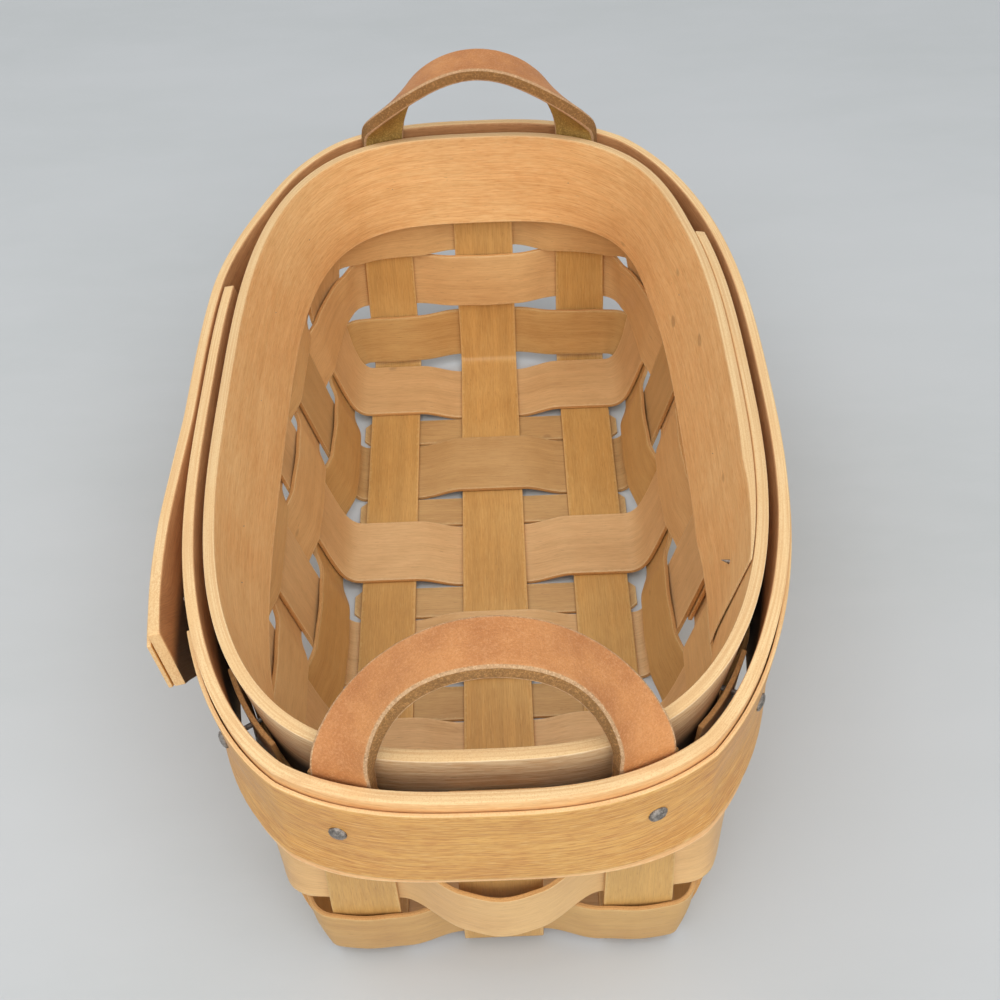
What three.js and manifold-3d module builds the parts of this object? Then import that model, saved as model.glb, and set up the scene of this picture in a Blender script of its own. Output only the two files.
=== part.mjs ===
// Oval splint basket with two leather ear handles.
// Flat splints are woven over and under each other, the weavers go round in three rows, and a
// pair of bent wooden bands clamps the stake tops and the handle legs, held by small tacks.
// Millimetres, +Z up. The origin is the centre of the underside, +Y runs along the oval.

import * as THREE from 'three';
import { mergeVertices } from 'three/addons/utils/BufferGeometryUtils.js';
import Module from 'manifold-3d';

const wasm = await Module();
wasm.setup();

// Stock that the pieces are cut from
const splint_thickness = 1.2;
const band_thickness = 2.8;
const trim_thickness = 1.0;
const leather_thickness = 3.8;
const clearance = 0.3;

// Stakes and fillers of the base
const centre_stake_width = 19;
const side_stake_width = 16;
const side_stake_place = 31.5;
const cross_stake_width = 24;
const cross_stake_count = 6;
const filler_gap = 0.95;
const filler_snip_share = 0.22;
const filler_overhang = 2.2;
const base_margin = 4.6;

// Wall, from the base outline up to the rim
const rim_height = 87;
const rim_half_length = 118.3;
const rim_half_width = 68.4;
const end_flare = 8.2;
const left_rim_squareness = 3.05;
const right_rim_squareness = 2.72;
const base_squareness = 24;
const corner_ease = 3;
const side_tuck = 1.8;
const end_tuck = 1;
const tuck_height = 20;

// Weavers
const row_count = 3;
const row_gap = 0.9;
const low_row_gap = 3.7;
const low_row_width_share = 0.92;
const row_start = 4.4;
const bare_stake_top = 23;
const belly_drop = 8.5;
const belly_bulge = 3;
const belly_reach_share = 0.75;

// Rim bands
const inner_band_height = 28.8;
const outer_band_height = 34.8;
const trim_height = 28;
const trim_drop = 3.2;
const stake_drop = 11;
const slot_slack = 0.5;
const slot_ease = 3.2;
const slot_foot_ease = 10;
const lap_gap = 1;
const tail_flare = 5.7;
const tail_ease = 1.3;
const tail_tip_height = 20;
const skive_thickness = 0.4;

// Leather handles
const handle_place = 29;
const strap_width = 12.7;
const strap_chamfer = 0.7;
const loop_height = 25.3;
const loop_lean = 6.8;
const leg_foot_gap = 1;
const twist_start = 1.5;
const twist_ease = 0.75;
const arch_fullness = 1.5;

// Tacks
const tack_drop = 14;
const tack_head_radius = 2.1;
const tack_head_height = 0.9;
const tack_shank_radius = 0.65;
const tack_point = 1.4;
const tack_crown_radius_share = 0.6;
const tack_crown_height_share = 0.85;
const tack_rim_height_share = 1 / 3;
const tack_clearance = 0.2;
const tack_tip_proud = 0.2;
const drill_overrun = 4;

// Facets
const outline_samples = 720;
const probe = 0.5;
const stake_shares = [-1 / 2, -1 / 6, 1 / 6, 1 / 2];
const weaver_gap_shares = [1 / 3, 2 / 3];
const band_gap_shares = [1 / 2];
const bend_shares = [1 / 4, 1 / 2, 3 / 4];
const low_level_shares = [1 / 4, 1 / 2];
const knee_share = 1 / 4;
const slope_shares = [0, 1 / 4, 1 / 2, 3 / 4, 1];
const tack_sides = 7;
const drill_sides = 6;
const arch_steps = 22;

// Values that follow from the sizes above
const layer = splint_thickness + clearance;
const low_level = splint_thickness / 2;
const middle_level = low_level + layer;
const high_level = middle_level + layer;
const rows_top = rim_height - bare_stake_top;
const rows_cover = rows_top - row_start - low_row_gap - (row_count - 2) * row_gap;
const row_width = rows_cover / (row_count - 1 + low_row_width_share);
const low_row_width = row_width * low_row_width_share;
const second_row_foot = row_start + low_row_width + low_row_gap;
const base_half_length = rim_half_length - end_flare;
const base_half_width = side_stake_place + side_stake_width / 2 + base_margin;
const cross_reach = base_half_length - base_margin - cross_stake_width / 2;
const cross_pitch = (2 * cross_reach) / (cross_stake_count - 1);
const filler_width = cross_pitch - cross_stake_width - 2 * filler_gap;
const filler_snip = filler_width * filler_snip_share;
const cross_flat_end = side_stake_place + side_stake_width / 2 + clearance;
const long_flat_end = cross_reach + cross_stake_width / 2 + clearance;
const stake_top = rim_height - stake_drop;
const inner_band_foot = rim_height - inner_band_height;
const outer_band_foot = rim_height - outer_band_height;
const trim_top = rim_height - trim_drop;
const trim_foot = trim_top - trim_height;
const tack_height = rim_height - tack_drop;
const stake_face = splint_thickness / 2 + clearance;
const weaver_face = stake_face + splint_thickness + clearance;

const colours = {
  stake: 0xc8904f,
  filler: 0xb98446,
  weaver: 0xcf9a58,
  band: 0xd6a364,
  trim: 0xdcaa6b,
  leather: 0xa5622f,
  steel: 0x6f6a64,
};

function makeMesh(name, geometry, colour, roughness, metalness = 0) {
  geometry.computeVertexNormals();
  const material = new THREE.MeshStandardMaterial({ color: colour, roughness, metalness });
  const mesh = new THREE.Mesh(geometry, material);
  mesh.name = name;
  return mesh;
}

function smooth(share) {
  const held = Math.min(1, Math.max(0, share));
  return held * held * (3 - 2 * held);
}

function between(first, last, share) {
  return first + (last - first) * share;
}

// The wall's line at one height: a superellipse, squarer near the base than at the rim, and
// tucked in at the foot
class Outline {
  constructor(height) {
    const rise = height / rim_height;
    const fall = Math.max(0, 1 - rise);
    const low = Math.max(0, 1 - height / tuck_height);
    this.half_length = between(base_half_length, rim_half_length, rise) - end_tuck * low * low;
    this.half_width = between(base_half_width, rim_half_width, rise) - side_tuck * low * low;
    const ease = Math.pow(fall, corner_ease);
    this.left_power = between(left_rim_squareness, base_squareness, ease);
    this.right_power = between(right_rim_squareness, base_squareness, ease);
    this.points = [];
    this.lengths = [0];
    for (let i = 0; i <= outline_samples; i++) {
      this.points.push(this.polar((i / outline_samples) * 2 * Math.PI - Math.PI / 2));
      if (i > 0) {
        this.lengths.push(this.lengths[i - 1] + this.points[i].distanceTo(this.points[i - 1]));
      }
    }
    this.total = this.lengths[outline_samples];
  }

  // The basket has gone a little out of true, so that its right side is the rounder one
  powerAt(across) {
    return across > 0 ? this.right_power : this.left_power;
  }

  polar(angle) {
    const power = this.powerAt(Math.cos(angle));
    const across = Math.pow(Math.abs(Math.cos(angle)) / this.half_width, power);
    const along = Math.pow(Math.abs(Math.sin(angle)) / this.half_length, power);
    const radius = Math.pow(across + along, -1 / power);
    return new THREE.Vector2(radius * Math.cos(angle), radius * Math.sin(angle));
  }

  // Length along the line to the point at this plan angle, from the near end
  lengthTo(angle) {
    const turn = ((angle + Math.PI / 2) / (2 * Math.PI) + 1) % 1;
    const step = turn * outline_samples;
    const index = Math.min(outline_samples - 1, Math.floor(step));
    return between(this.lengths[index], this.lengths[index + 1], step - index);
  }

  at(length) {
    const held = ((length % this.total) + this.total) % this.total;
    let low = 0;
    let high = outline_samples;
    while (high - low > 1) {
      const middle = (low + high) >> 1;
      if (this.lengths[middle] > held) {
        high = middle;
      } else {
        low = middle;
      }
    }
    const share = (held - this.lengths[low]) / (this.lengths[high] - this.lengths[low]);
    return this.points[low].clone().lerp(this.points[high], share);
  }

  // Half breadth of the line on one side, where the other coordinate is given
  widthAt(along, side) {
    const power = this.powerAt(side);
    const used = Math.pow(Math.abs(along) / this.half_length, power);
    return this.half_width * Math.pow(1 - used, 1 / power);
  }

  lengthAt(across) {
    const power = this.powerAt(across);
    const used = Math.pow(Math.abs(across) / this.half_width, power);
    return this.half_length * Math.pow(1 - used, 1 / power);
  }
}

const outlines = new Map();

function outlineAt(height) {
  if (!outlines.has(height)) {
    outlines.set(height, new Outline(height));
  }
  return outlines.get(height);
}

// The uprights in order round the wall, counterclockwise from the near end's right
function crossPlace(index) {
  return cross_reach - index * cross_pitch;
}

const uprights = [];
for (let i = cross_stake_count - 1; i >= 0; i--) {
  uprights.push({ kind: 'cross', side: 1, index: i, place: crossPlace(i), width: cross_stake_width });
}
const long_places = [side_stake_place, 0, -side_stake_place];
const long_widths = [side_stake_width, centre_stake_width, side_stake_width];
for (let i = 0; i < long_places.length; i++) {
  uprights.push({ kind: 'long', side: 1, index: i, place: long_places[i], width: long_widths[i] });
}
for (let i = 0; i < cross_stake_count; i++) {
  uprights.push({ kind: 'cross', side: -1, index: i, place: crossPlace(i), width: cross_stake_width });
}
for (let i = long_places.length - 1; i >= 0; i--) {
  uprights.push({ kind: 'long', side: -1, index: i, place: long_places[i], width: long_widths[i] });
}
const upright_count = uprights.length;

function findUpright(kind, side, index) {
  return uprights.findIndex((u) => u.kind === kind && u.side === side && u.index === index);
}

function uprightLength(number, outline) {
  const upright = uprights[((number % upright_count) + upright_count) % upright_count];
  if (upright.kind === 'cross') {
    const across = upright.side * outline.widthAt(upright.place, upright.side);
    return outline.lengthTo(Math.atan2(upright.place, across));
  }
  const along = upright.side * outline.lengthAt(upright.place);
  return outline.lengthTo(Math.atan2(along, upright.place));
}

// A station is a place round the wall: on an upright at a shift from its centre line, or at a
// share of the gap that follows the upright
function stationLength(station, outline) {
  const here = uprightLength(station.upright, outline);
  if (station.gap_share === undefined) {
    return here + station.shift;
  }
  const next_number = (station.upright + 1) % upright_count;
  let there = uprightLength(next_number, outline);
  if (there < here) {
    there += outline.total;
  }
  const first = here + uprights[station.upright].width / 2;
  const last = there - uprights[next_number].width / 2;
  return between(first, last, station.gap_share);
}

function wallPosition(station, height, nudge = 0) {
  const outline = outlineAt(height);
  const point = outline.at(stationLength(station, outline) + nudge);
  return new THREE.Vector3(point.x, point.y, height);
}

// Point of the wall's middle surface with its outward normal, at one of the wall's levels
function levelFrame(station, height) {
  const along = wallPosition(station, height, probe).sub(wallPosition(station, height, -probe));
  const up = wallPosition(station, height + probe).sub(wallPosition(station, height - probe));
  const normal = along.cross(up).normalize();
  return { point: wallPosition(station, height), normal };
}

function rowFoot(row) {
  return row === 0 ? row_start : second_row_foot + (row - 1) * (row_width + row_gap);
}

// Every piece takes the wall as straight between the same levels, so that faces stay parallel
const low_row_end = second_row_foot - low_row_gap / 2;
const wall_levels = [row_start];
wall_levels.push(...low_level_shares.map((share) => between(row_start, low_row_end, share)));
wall_levels.push(low_row_end);
for (let row = 2; row < row_count; row++) {
  wall_levels.push(rowFoot(row) - row_gap / 2);
}
wall_levels.push(rows_top, rim_height);

function wallFrame(station, height) {
  let number = 0;
  while (number < wall_levels.length - 2 && height > wall_levels[number + 1]) {
    number += 1;
  }
  const low = wall_levels[number];
  const high = wall_levels[number + 1];
  const share = (height - low) / (high - low);
  const lower = levelFrame(station, low);
  const upper = levelFrame(station, high);
  return { point: lower.point.lerp(upper.point, share), normal: lower.normal.lerp(upper.normal, share) };
}

function wallPoint(station, height, offset) {
  const frame = wallFrame(station, height);
  return frame.point.addScaledVector(frame.normal, offset);
}

// Closed sheet between two grids of points, with faces pointing out
function closedSheet(outer, inner) {
  const rows = outer.length;
  const columns = outer[0].length;
  const positions = [];
  for (const grid of [outer, inner]) {
    for (const row of grid) {
      for (const point of row) {
        positions.push(point.x, point.y, point.z);
      }
    }
  }
  const top = (i, j) => i * columns + j;
  const bottom = (i, j) => rows * columns + i * columns + j;
  const index = [];
  const quad = (a, b, c, d) => index.push(a, b, c, a, c, d);
  for (let i = 0; i < rows - 1; i++) {
    for (let j = 0; j < columns - 1; j++) {
      // The diagonal that stands further out is used on both faces, so that neighbours match
      const lift = outer[i][j].clone().add(outer[i + 1][j + 1]);
      lift.sub(outer[i + 1][j]).sub(outer[i][j + 1]);
      if (lift.dot(outer[i][j].clone().sub(inner[i][j])) > 0) {
        quad(top(i, j), top(i + 1, j), top(i + 1, j + 1), top(i, j + 1));
        quad(bottom(i, j), bottom(i, j + 1), bottom(i + 1, j + 1), bottom(i + 1, j));
      } else {
        quad(top(i, j + 1), top(i, j), top(i + 1, j), top(i + 1, j + 1));
        quad(bottom(i, j + 1), bottom(i + 1, j + 1), bottom(i + 1, j), bottom(i, j));
      }
    }
  }
  const right = columns - 1;
  const end = rows - 1;
  for (let i = 0; i < end; i++) {
    quad(top(i, 0), bottom(i, 0), bottom(i + 1, 0), top(i + 1, 0));
    quad(top(i + 1, right), bottom(i + 1, right), bottom(i, right), top(i, right));
  }
  for (let j = 0; j < right; j++) {
    quad(top(0, j + 1), bottom(0, j + 1), bottom(0, j), top(0, j));
    quad(top(end, j), bottom(end, j), bottom(end, j + 1), top(end, j + 1));
  }
  return outwardGeometry(positions, index);
}

function signedVolume(positions, index) {
  let volume = 0;
  const corner = (k) => new THREE.Vector3().fromArray(positions, 3 * index[k]);
  for (let k = 0; k < index.length; k += 3) {
    volume += corner(k).dot(corner(k + 1).cross(corner(k + 2))) / 6;
  }
  return volume;
}

function outwardGeometry(positions, index) {
  if (signedVolume(positions, index) < 0) {
    for (let k = 0; k < index.length; k += 3) {
      const held = index[k + 1];
      index[k + 1] = index[k + 2];
      index[k + 2] = held;
    }
  }
  const geometry = new THREE.BufferGeometry();
  geometry.setAttribute('position', new THREE.Float32BufferAttribute(positions, 3));
  geometry.setIndex(index);
  return geometry;
}

function toSolid(geometry) {
  const bare = geometry.clone();
  bare.deleteAttribute('normal');
  bare.deleteAttribute('uv');
  const merged = mergeVertices(bare);
  return new wasm.Manifold(new wasm.Mesh({
    numProp: 3,
    vertProperties: Float32Array.from(merged.attributes.position.array),
    triVerts: Uint32Array.from(merged.index.array),
  }));
}

function toGeometry(solid) {
  const mesh = solid.getMesh();
  const geometry = new THREE.BufferGeometry();
  geometry.setAttribute('position', new THREE.BufferAttribute(Float32Array.from(mesh.vertProperties), 3));
  geometry.setIndex(new THREE.BufferAttribute(Uint32Array.from(mesh.triVerts), 1));
  return geometry;
}

// Strip that runs round the wall, between two offsets from the middle surface
function wallStrip(stations, heightsAt, offsets) {
  const outer = [];
  const inner = [];
  for (let i = 0; i < stations.length; i++) {
    const heights = heightsAt(i);
    const frames = heights.map((height) => wallFrame(stations[i], height));
    const faces = heights.map((height) => offsets(i, height));
    outer.push(frames.map((f, j) => f.point.clone().addScaledVector(f.normal, faces[j].outside)));
    inner.push(frames.map((f, j) => f.point.clone().addScaledVector(f.normal, faces[j].inside)));
  }
  return closedSheet(outer, inner);
}

function uprightStations(number, shares) {
  const width = uprights[number].width;
  return shares.map((share) => ({ upright: number, shift: share * width, share }));
}

function loopStations(first, gap_shares) {
  const stations = [];
  for (let step = 0; step < upright_count; step++) {
    const number = (first + step) % upright_count;
    stations.push(...uprightStations(number, stake_shares));
    stations.push(...gap_shares.map((gap_share) => ({ upright: number, gap_share })));
  }
  return stations;
}

// Stakes: a wall at each end, a bend, and the flat run across the base
const stake_heights = [...wall_levels.slice(0, -1), stake_top];

function bendPoint(start, corner, end, share) {
  const first = start.clone().lerp(corner, share);
  const last = corner.clone().lerp(end, share);
  return first.lerp(last, share);
}

// One end of a stake, from the top of the wall down to the flat of the base. A stake that lies
// high on the base leaves the wall one level higher.
function stakeEnd(number, columns, level, basePoint) {
  const heights = level === high_level ? stake_heights.slice(1) : stake_heights;
  const rows = heights.slice().reverse().map((height) => columns.map((column) => {
    const frame = wallFrame({ upright: number, shift: column.shift }, height);
    return { point: frame.point, normal: frame.normal };
  }));
  const bend = bend_shares.slice().reverse().map((share) => columns.map((column, j) => {
    const corner = wallPosition({ upright: number, shift: column.shift }, level);
    const wall = rows[rows.length - 1][j].point;
    return { point: bendPoint(basePoint(column), corner, wall, share) };
  }));
  const foot = columns.map((column) => ({ point: basePoint(column) }));
  return [...rows, ...bend, foot];
}

function fillNormals(rows) {
  for (let i = 0; i < rows.length; i++) {
    for (let j = 0; j < rows[i].length; j++) {
      if (rows[i][j].normal) {
        continue;
      }
      const run = rows[i + 1][j].point.clone().sub(rows[i - 1][j].point);
      const left = rows[i][Math.max(0, j - 1)].point;
      const right = rows[i][Math.min(rows[i].length - 1, j + 1)].point;
      const normal = run.cross(right.clone().sub(left)).normalize();
      rows[i][j].normal = normal.z > 0 ? normal.negate() : normal;
    }
  }
}

function stakeGeometry(rows) {
  fillNormals(rows);
  const half = splint_thickness / 2;
  const outer = rows.map((row) => row.map((c) => c.point.clone().addScaledVector(c.normal, half)));
  const inner = rows.map((row) => row.map((c) => c.point.clone().addScaledVector(c.normal, -half)));
  return closedSheet(outer, inner);
}

// Cross stakes pass alternately over and under the three long stakes
function crossStake(index) {
  const place = crossPlace(index);
  const outer_level = index % 2 === 0 ? high_level : low_level;
  const inner_level = index % 2 === 0 ? low_level : high_level;
  const slope_start = centre_stake_width / 2 + clearance;
  const slope_end = side_stake_place - side_stake_width / 2 - clearance;
  const columnsFor = (side) => stake_shares.map((share) => {
    const across = share * cross_stake_width;
    return { across, shift: side * across };
  });
  const end = (side) => stakeEnd(
    findUpright('cross', side, index),
    columnsFor(side),
    outer_level,
    ({ across }) => new THREE.Vector3(side * cross_flat_end, place + across, outer_level),
  );
  const slope = (side) => slope_shares.map((share) => stake_shares.map((width_share) => {
    const level = between(outer_level, inner_level, smooth(share));
    const run = side * between(slope_end, slope_start, share);
    return { point: new THREE.Vector3(run, place + width_share * cross_stake_width, level) };
  }));
  const right = [...end(1), ...slope(1)];
  const left = [...end(-1), ...slope(-1)];
  return stakeGeometry([...right, ...left.reverse()]);
}

function longStake(index) {
  const place = long_places[index];
  const width = long_widths[index];
  const end = (side) => stakeEnd(
    findUpright('long', side, index),
    stake_shares.map((share) => ({ across: share * width, shift: -side * share * width })),
    middle_level,
    ({ across }) => new THREE.Vector3(place + across, side * long_flat_end, middle_level),
  );
  return stakeGeometry([...end(1), ...end(-1).reverse()]);
}

// Fillers lie flat under the long stakes, their ends snipped to clear the bends
function filler(index) {
  const place = (crossPlace(index) + crossPlace(index + 1)) / 2;
  const reach = side_stake_place + side_stake_width / 2 + filler_overhang;
  const half = filler_width / 2;
  const shape = new THREE.Shape();
  shape.moveTo(-reach + filler_snip, -half);
  shape.lineTo(reach - filler_snip, -half);
  shape.lineTo(reach, -half + filler_snip);
  shape.lineTo(reach, half - filler_snip);
  shape.lineTo(reach - filler_snip, half);
  shape.lineTo(-reach + filler_snip, half);
  shape.lineTo(-reach, half - filler_snip);
  shape.lineTo(-reach, -half + filler_snip);
  shape.closePath();
  const geometry = new THREE.ExtrudeGeometry(shape, { depth: splint_thickness, bevelEnabled: false });
  return geometry.translate(0, place, 0);
}

// The second weaver sags and bulges where it passes the centre stake at the near end
function bellyShare(row, station) {
  if (row !== 1) {
    return 0;
  }
  const shift = station.gap_share === undefined ? station.share / 2 : 1 / 4 + station.gap_share / 2;
  const away = Math.abs(station.upright + shift - findUpright('long', -1, 1));
  return smooth(1 - away / belly_reach_share);
}

// Weavers go outside one upright and inside the next, and overlap themselves on one of them
function weaver(row, lap_upright) {
  const foot = rowFoot(row);
  const top = foot + (row === 0 ? low_row_width : row_width);
  const levels = [foot, ...wall_levels.filter((level) => level > foot && level < top), top];
  const outsideAt = (number) => ((number + row) % 2 === 1 ? 1 : -1);
  const stations = loopStations(lap_upright, weaver_gap_shares);
  const first_pass = stations.length;
  stations.push(...uprightStations(lap_upright, stake_shares));
  const lap_lift = layer + clearance;
  const middle = (i) => {
    const station = stations[i];
    const here = outsideAt(station.upright) * layer + (i >= first_pass ? lap_lift : 0);
    if (station.gap_share === undefined) {
      return here;
    }
    const next = (station.upright + 1) % upright_count;
    const there = outsideAt(next) * layer + (next === lap_upright ? lap_lift : 0);
    return between(here, there, (1 - Math.cos(Math.PI * station.gap_share)) / 2);
  };
  const offsets = (i) => {
    const centre = middle(i) + belly_bulge * bellyShare(row, stations[i]);
    return { outside: centre + splint_thickness / 2, inside: centre - splint_thickness / 2 };
  };
  const heightsAt = (i) => levels.map((level) => level - belly_drop * bellyShare(row, stations[i]));
  return wallStrip(stations, heightsAt, offsets);
}

// The bands lean on the stakes at the rim and stand off at the foot, over the top weaver
function bandStand(height, foot) {
  const lean = (weaver_face - stake_face) / (rim_height - rows_top);
  return stake_face + lean * (rim_height - Math.max(height, foot));
}

function legStation(side, hand) {
  const index = hand > 0 ? 0 : long_places.length - 1;
  const number = findUpright('long', side, index);
  return { upright: number, shift: side * hand * (side_stake_place - handle_place) };
}

// How far the curved wall falls away from a flat leg across half its width
function legBow(hand, height) {
  const leg = legStation(-1, hand);
  const middle = wallFrame(leg, height);
  const falls = [-1, 1].map((edge_side) => {
    const shift = leg.shift + (edge_side * strap_width) / 2;
    const edge = wallFrame({ upright: leg.upright, shift }, height);
    return middle.point.clone().sub(edge.point).dot(middle.normal);
  });
  return Math.max(...falls);
}

const leg_bows = [-1, 1].flatMap((hand) => [legBow(hand, rows_top), legBow(hand, rim_height)]);
const leather_bow = Math.max(...leg_bows);
const leather_face = stake_face + leather_thickness + clearance + leather_bow;

// At the two ends the outer band also clears the leather legs, and its foot draws in sooner
function endShare(station, height) {
  const place = wallPosition(station, rim_height);
  const start = crossPlace(1);
  const edge = Math.sign(place.x) * (side_stake_place + side_stake_width / 2);
  const full = outlineAt(rim_height).lengthAt(edge);
  const share = Math.min(1, Math.max(0, (Math.abs(place.y) - start) / (full - start)));
  const rise = (height - outer_band_foot) / outer_band_height;
  return between(Math.pow(share, slot_foot_ease), Math.pow(share, slot_ease), rise);
}

const band_loop = loopStations(findUpright('cross', -1, 1), band_gap_shares);
const per_upright = stake_shares.length + band_gap_shares.length;
const band_start = stake_shares.length - 1;
const outer_lap_uprights = 4;
const inner_lap_uprights = 3;
const band_end = band_loop.length + outer_lap_uprights * per_upright - 1;
const ramp_columns = 6;
const flare_columns = 9;
const tip_columns = 2;
const inner_end_columns = 2;
const skive_columns = 4;

function bandStation(step) {
  return band_loop[step % band_loop.length];
}

// Inner face of the outer band at a step along its run
function outerBandFace(step, height) {
  const station = bandStation(step);
  const side_face = bandStand(height, outer_band_foot) + slot_slack;
  const face = between(side_face, leather_face, endShare(station, height));
  const ramp = (step - (band_loop.length + band_start - ramp_columns)) / ramp_columns;
  const lap = smooth(ramp) * (band_thickness + lap_gap);
  const flare = Math.max(0, (step - (band_end - flare_columns)) / flare_columns);
  return face + lap + tail_flare * Math.pow(flare, tail_ease);
}

function steps(first, last) {
  return Array.from({ length: last - first + 1 }, (_, i) => first + i);
}

function bandHeights(foot, top) {
  const knee = foot < rows_top ? rows_top : between(foot, top, knee_share);
  return [foot, knee, top];
}

// The loose tail is cut away below towards its tip
function tailFoot(step, foot) {
  const share = Math.max(0, (step - (band_end - tip_columns)) / tip_columns);
  return between(foot, rim_height - tail_tip_height, share);
}

function outerBand() {
  const run = steps(band_start, band_end);
  const heightsAt = (i) => bandHeights(tailFoot(run[i], outer_band_foot), rim_height);
  return wallStrip(run.map(bandStation), heightsAt, (i, height) => {
    const face = outerBandFace(run[i], height);
    return { outside: face + band_thickness, inside: face };
  });
}

function trimFace(step, height) {
  return outerBandFace(step, height) + band_thickness + clearance;
}

function trimStrip() {
  const run = steps(band_end - band_loop.length, band_end);
  const heightsAt = (i) => bandHeights(tailFoot(run[i], trim_foot), trim_top);
  return wallStrip(run.map(bandStation), heightsAt, (i, height) => {
    const face = trimFace(run[i], height);
    return { outside: face + trim_thickness, inside: face };
  });
}

// The inner band runs the other way round, and its last ply is skived at the end
function innerBand() {
  const start = findUpright('cross', 1, 1);
  const loop = loopStations(start, band_gap_shares).reverse();
  const first = loop.findIndex((s) => s.upright === start && s.share === stake_shares[2]);
  const last = first + loop.length + inner_lap_uprights * per_upright + inner_end_columns;
  const run = steps(first, last);
  const heightsAt = () => bandHeights(inner_band_foot, rim_height);
  return wallStrip(run.map((step) => loop[step % loop.length]), heightsAt, (i, height) => {
    const ramp = (run[i] - (first + loop.length - ramp_columns)) / ramp_columns;
    const lap = smooth(ramp) * (band_thickness + clearance);
    const face = bandStand(height, inner_band_foot) + lap;
    const whole = Math.min(1, (last - run[i]) / skive_columns);
    const thickness = between(skive_thickness, band_thickness, whole);
    return { outside: -face, inside: -face - thickness };
  });
}

// Leather ear: the legs stand in the slot, and the strap twists until its face lies level at the
// top of the loop, leaning inwards
function strapFrames(side) {
  const frames = [];
  const leg_middle = stake_face + leather_thickness / 2;
  const leg_foot = rows_top + leg_foot_gap;
  const leg_heights = [leg_foot, (leg_foot + rim_height) / 2, rim_height];
  const outward = new THREE.Vector3(0, side, 0);
  const leg = (hand) => leg_heights.map((height) => {
    const frame = wallFrame(legStation(side, hand), height);
    const point = frame.point.clone().addScaledVector(frame.normal, leg_middle);
    return { point, normal: frame.normal };
  });
  const left = leg(-1);
  const right = leg(1);
  const start = left[left.length - 1];
  const finish = right[right.length - 1];
  const top = rim_height + loop_height + leather_thickness / 2;
  const arch_foot = rim_height + twist_start;
  for (const frame of left) {
    frames.push({ point: frame.point, face: frame.normal });
  }
  for (let i = 0; i <= arch_steps; i++) {
    const turn = Math.PI * (i / arch_steps);
    const rise = Math.sin(turn);
    const across = (1 - Math.cos(turn)) / 2;
    const side_frame = i * 2 <= arch_steps ? start : finish;
    const x = between(start.point.x, finish.point.x, across);
    const z = between(arch_foot, top, Math.pow(rise, arch_fullness));
    const y = between(start.point.y, finish.point.y, across) - side * loop_lean * smooth(rise);
    const fan = new THREE.Vector3(-Math.cos(turn), 0, rise).normalize();
    const flat = side_frame.normal.clone().lerp(outward, smooth(rise)).normalize();
    const twist = (Math.PI / 2) * Math.pow(smooth(rise), twist_ease);
    const face = flat.multiplyScalar(Math.cos(twist)).addScaledVector(fan, Math.sin(twist));
    frames.push({ point: new THREE.Vector3(x, y, z), face: face.normalize() });
  }
  for (const frame of right.slice().reverse()) {
    frames.push({ point: frame.point, face: frame.normal });
  }
  return frames;
}

function handle(side) {
  const frames = strapFrames(side);
  const half_width = strap_width / 2;
  const half_depth = leather_thickness / 2;
  const section = [
    [half_width - strap_chamfer, half_depth],
    [half_width, half_depth - strap_chamfer],
    [half_width, -half_depth + strap_chamfer],
    [half_width - strap_chamfer, -half_depth],
    [-half_width + strap_chamfer, -half_depth],
    [-half_width, -half_depth + strap_chamfer],
    [-half_width, half_depth - strap_chamfer],
    [-half_width + strap_chamfer, half_depth],
  ];
  const positions = [];
  const index = [];
  const sides = section.length;
  const last = frames.length - 1;
  for (let i = 0; i <= last; i++) {
    const before = frames[Math.max(0, i - 1)].point;
    const after = frames[Math.min(last, i + 1)].point;
    const run = after.clone().sub(before).normalize();
    const across = run.clone().cross(frames[i].face).normalize();
    const face = across.clone().cross(run).normalize();
    for (const [width, depth] of section) {
      const point = frames[i].point.clone().addScaledVector(across, width).addScaledVector(face, depth);
      positions.push(point.x, point.y, point.z);
    }
  }
  for (let i = 0; i < last; i++) {
    for (let j = 0; j < sides; j++) {
      const next = (j + 1) % sides;
      const low = i * sides;
      const high = low + sides;
      index.push(low + j, high + j, high + next, low + j, high + next, low + next);
    }
  }
  for (let j = 1; j < sides - 1; j++) {
    index.push(0, j, j + 1);
    index.push(last * sides, last * sides + j + 1, last * sides + j);
  }
  return outwardGeometry(positions, index);
}

// Tacks are driven square to the wall through trim, bands, stake and strap
const tack_spots = [
  { name: 'tack_far_left', at: legStation(1, -1) },
  { name: 'tack_far_right', at: legStation(1, 1) },
  { name: 'tack_near_left', at: legStation(-1, -1) },
  { name: 'tack_near_right', at: legStation(-1, 1) },
];
const side_tacks = [
  { name: 'tack_corner_far_right', side: 1, index: 0, share: -0.38 },
  { name: 'tack_corner_far_left', side: -1, index: 0, share: 0.38 },
  { name: 'tack_corner_near_right', side: 1, index: 5, share: 0.1 },
  { name: 'tack_corner_near_left', side: -1, index: 5, share: 0.1 },
  { name: 'tack_left_1', side: -1, index: 1, share: 0.36 },
  { name: 'tack_left_2', side: -1, index: 2, share: 0.36 },
  { name: 'tack_left_3', side: -1, index: 3, share: 0.78 },
  { name: 'tack_left_4', side: -1, index: 4, share: 0 },
  { name: 'tack_right_1', side: 1, index: 1, share: -0.36 },
  { name: 'tack_right_2', side: 1, index: 3, share: 0 },
  { name: 'tack_right_3', side: 1, index: 4, share: 0 },
];
for (const { name, side, index, share } of side_tacks) {
  const upright = findUpright('cross', side, index);
  tack_spots.push({ name, at: { upright, shift: share * cross_stake_width } });
}

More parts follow.
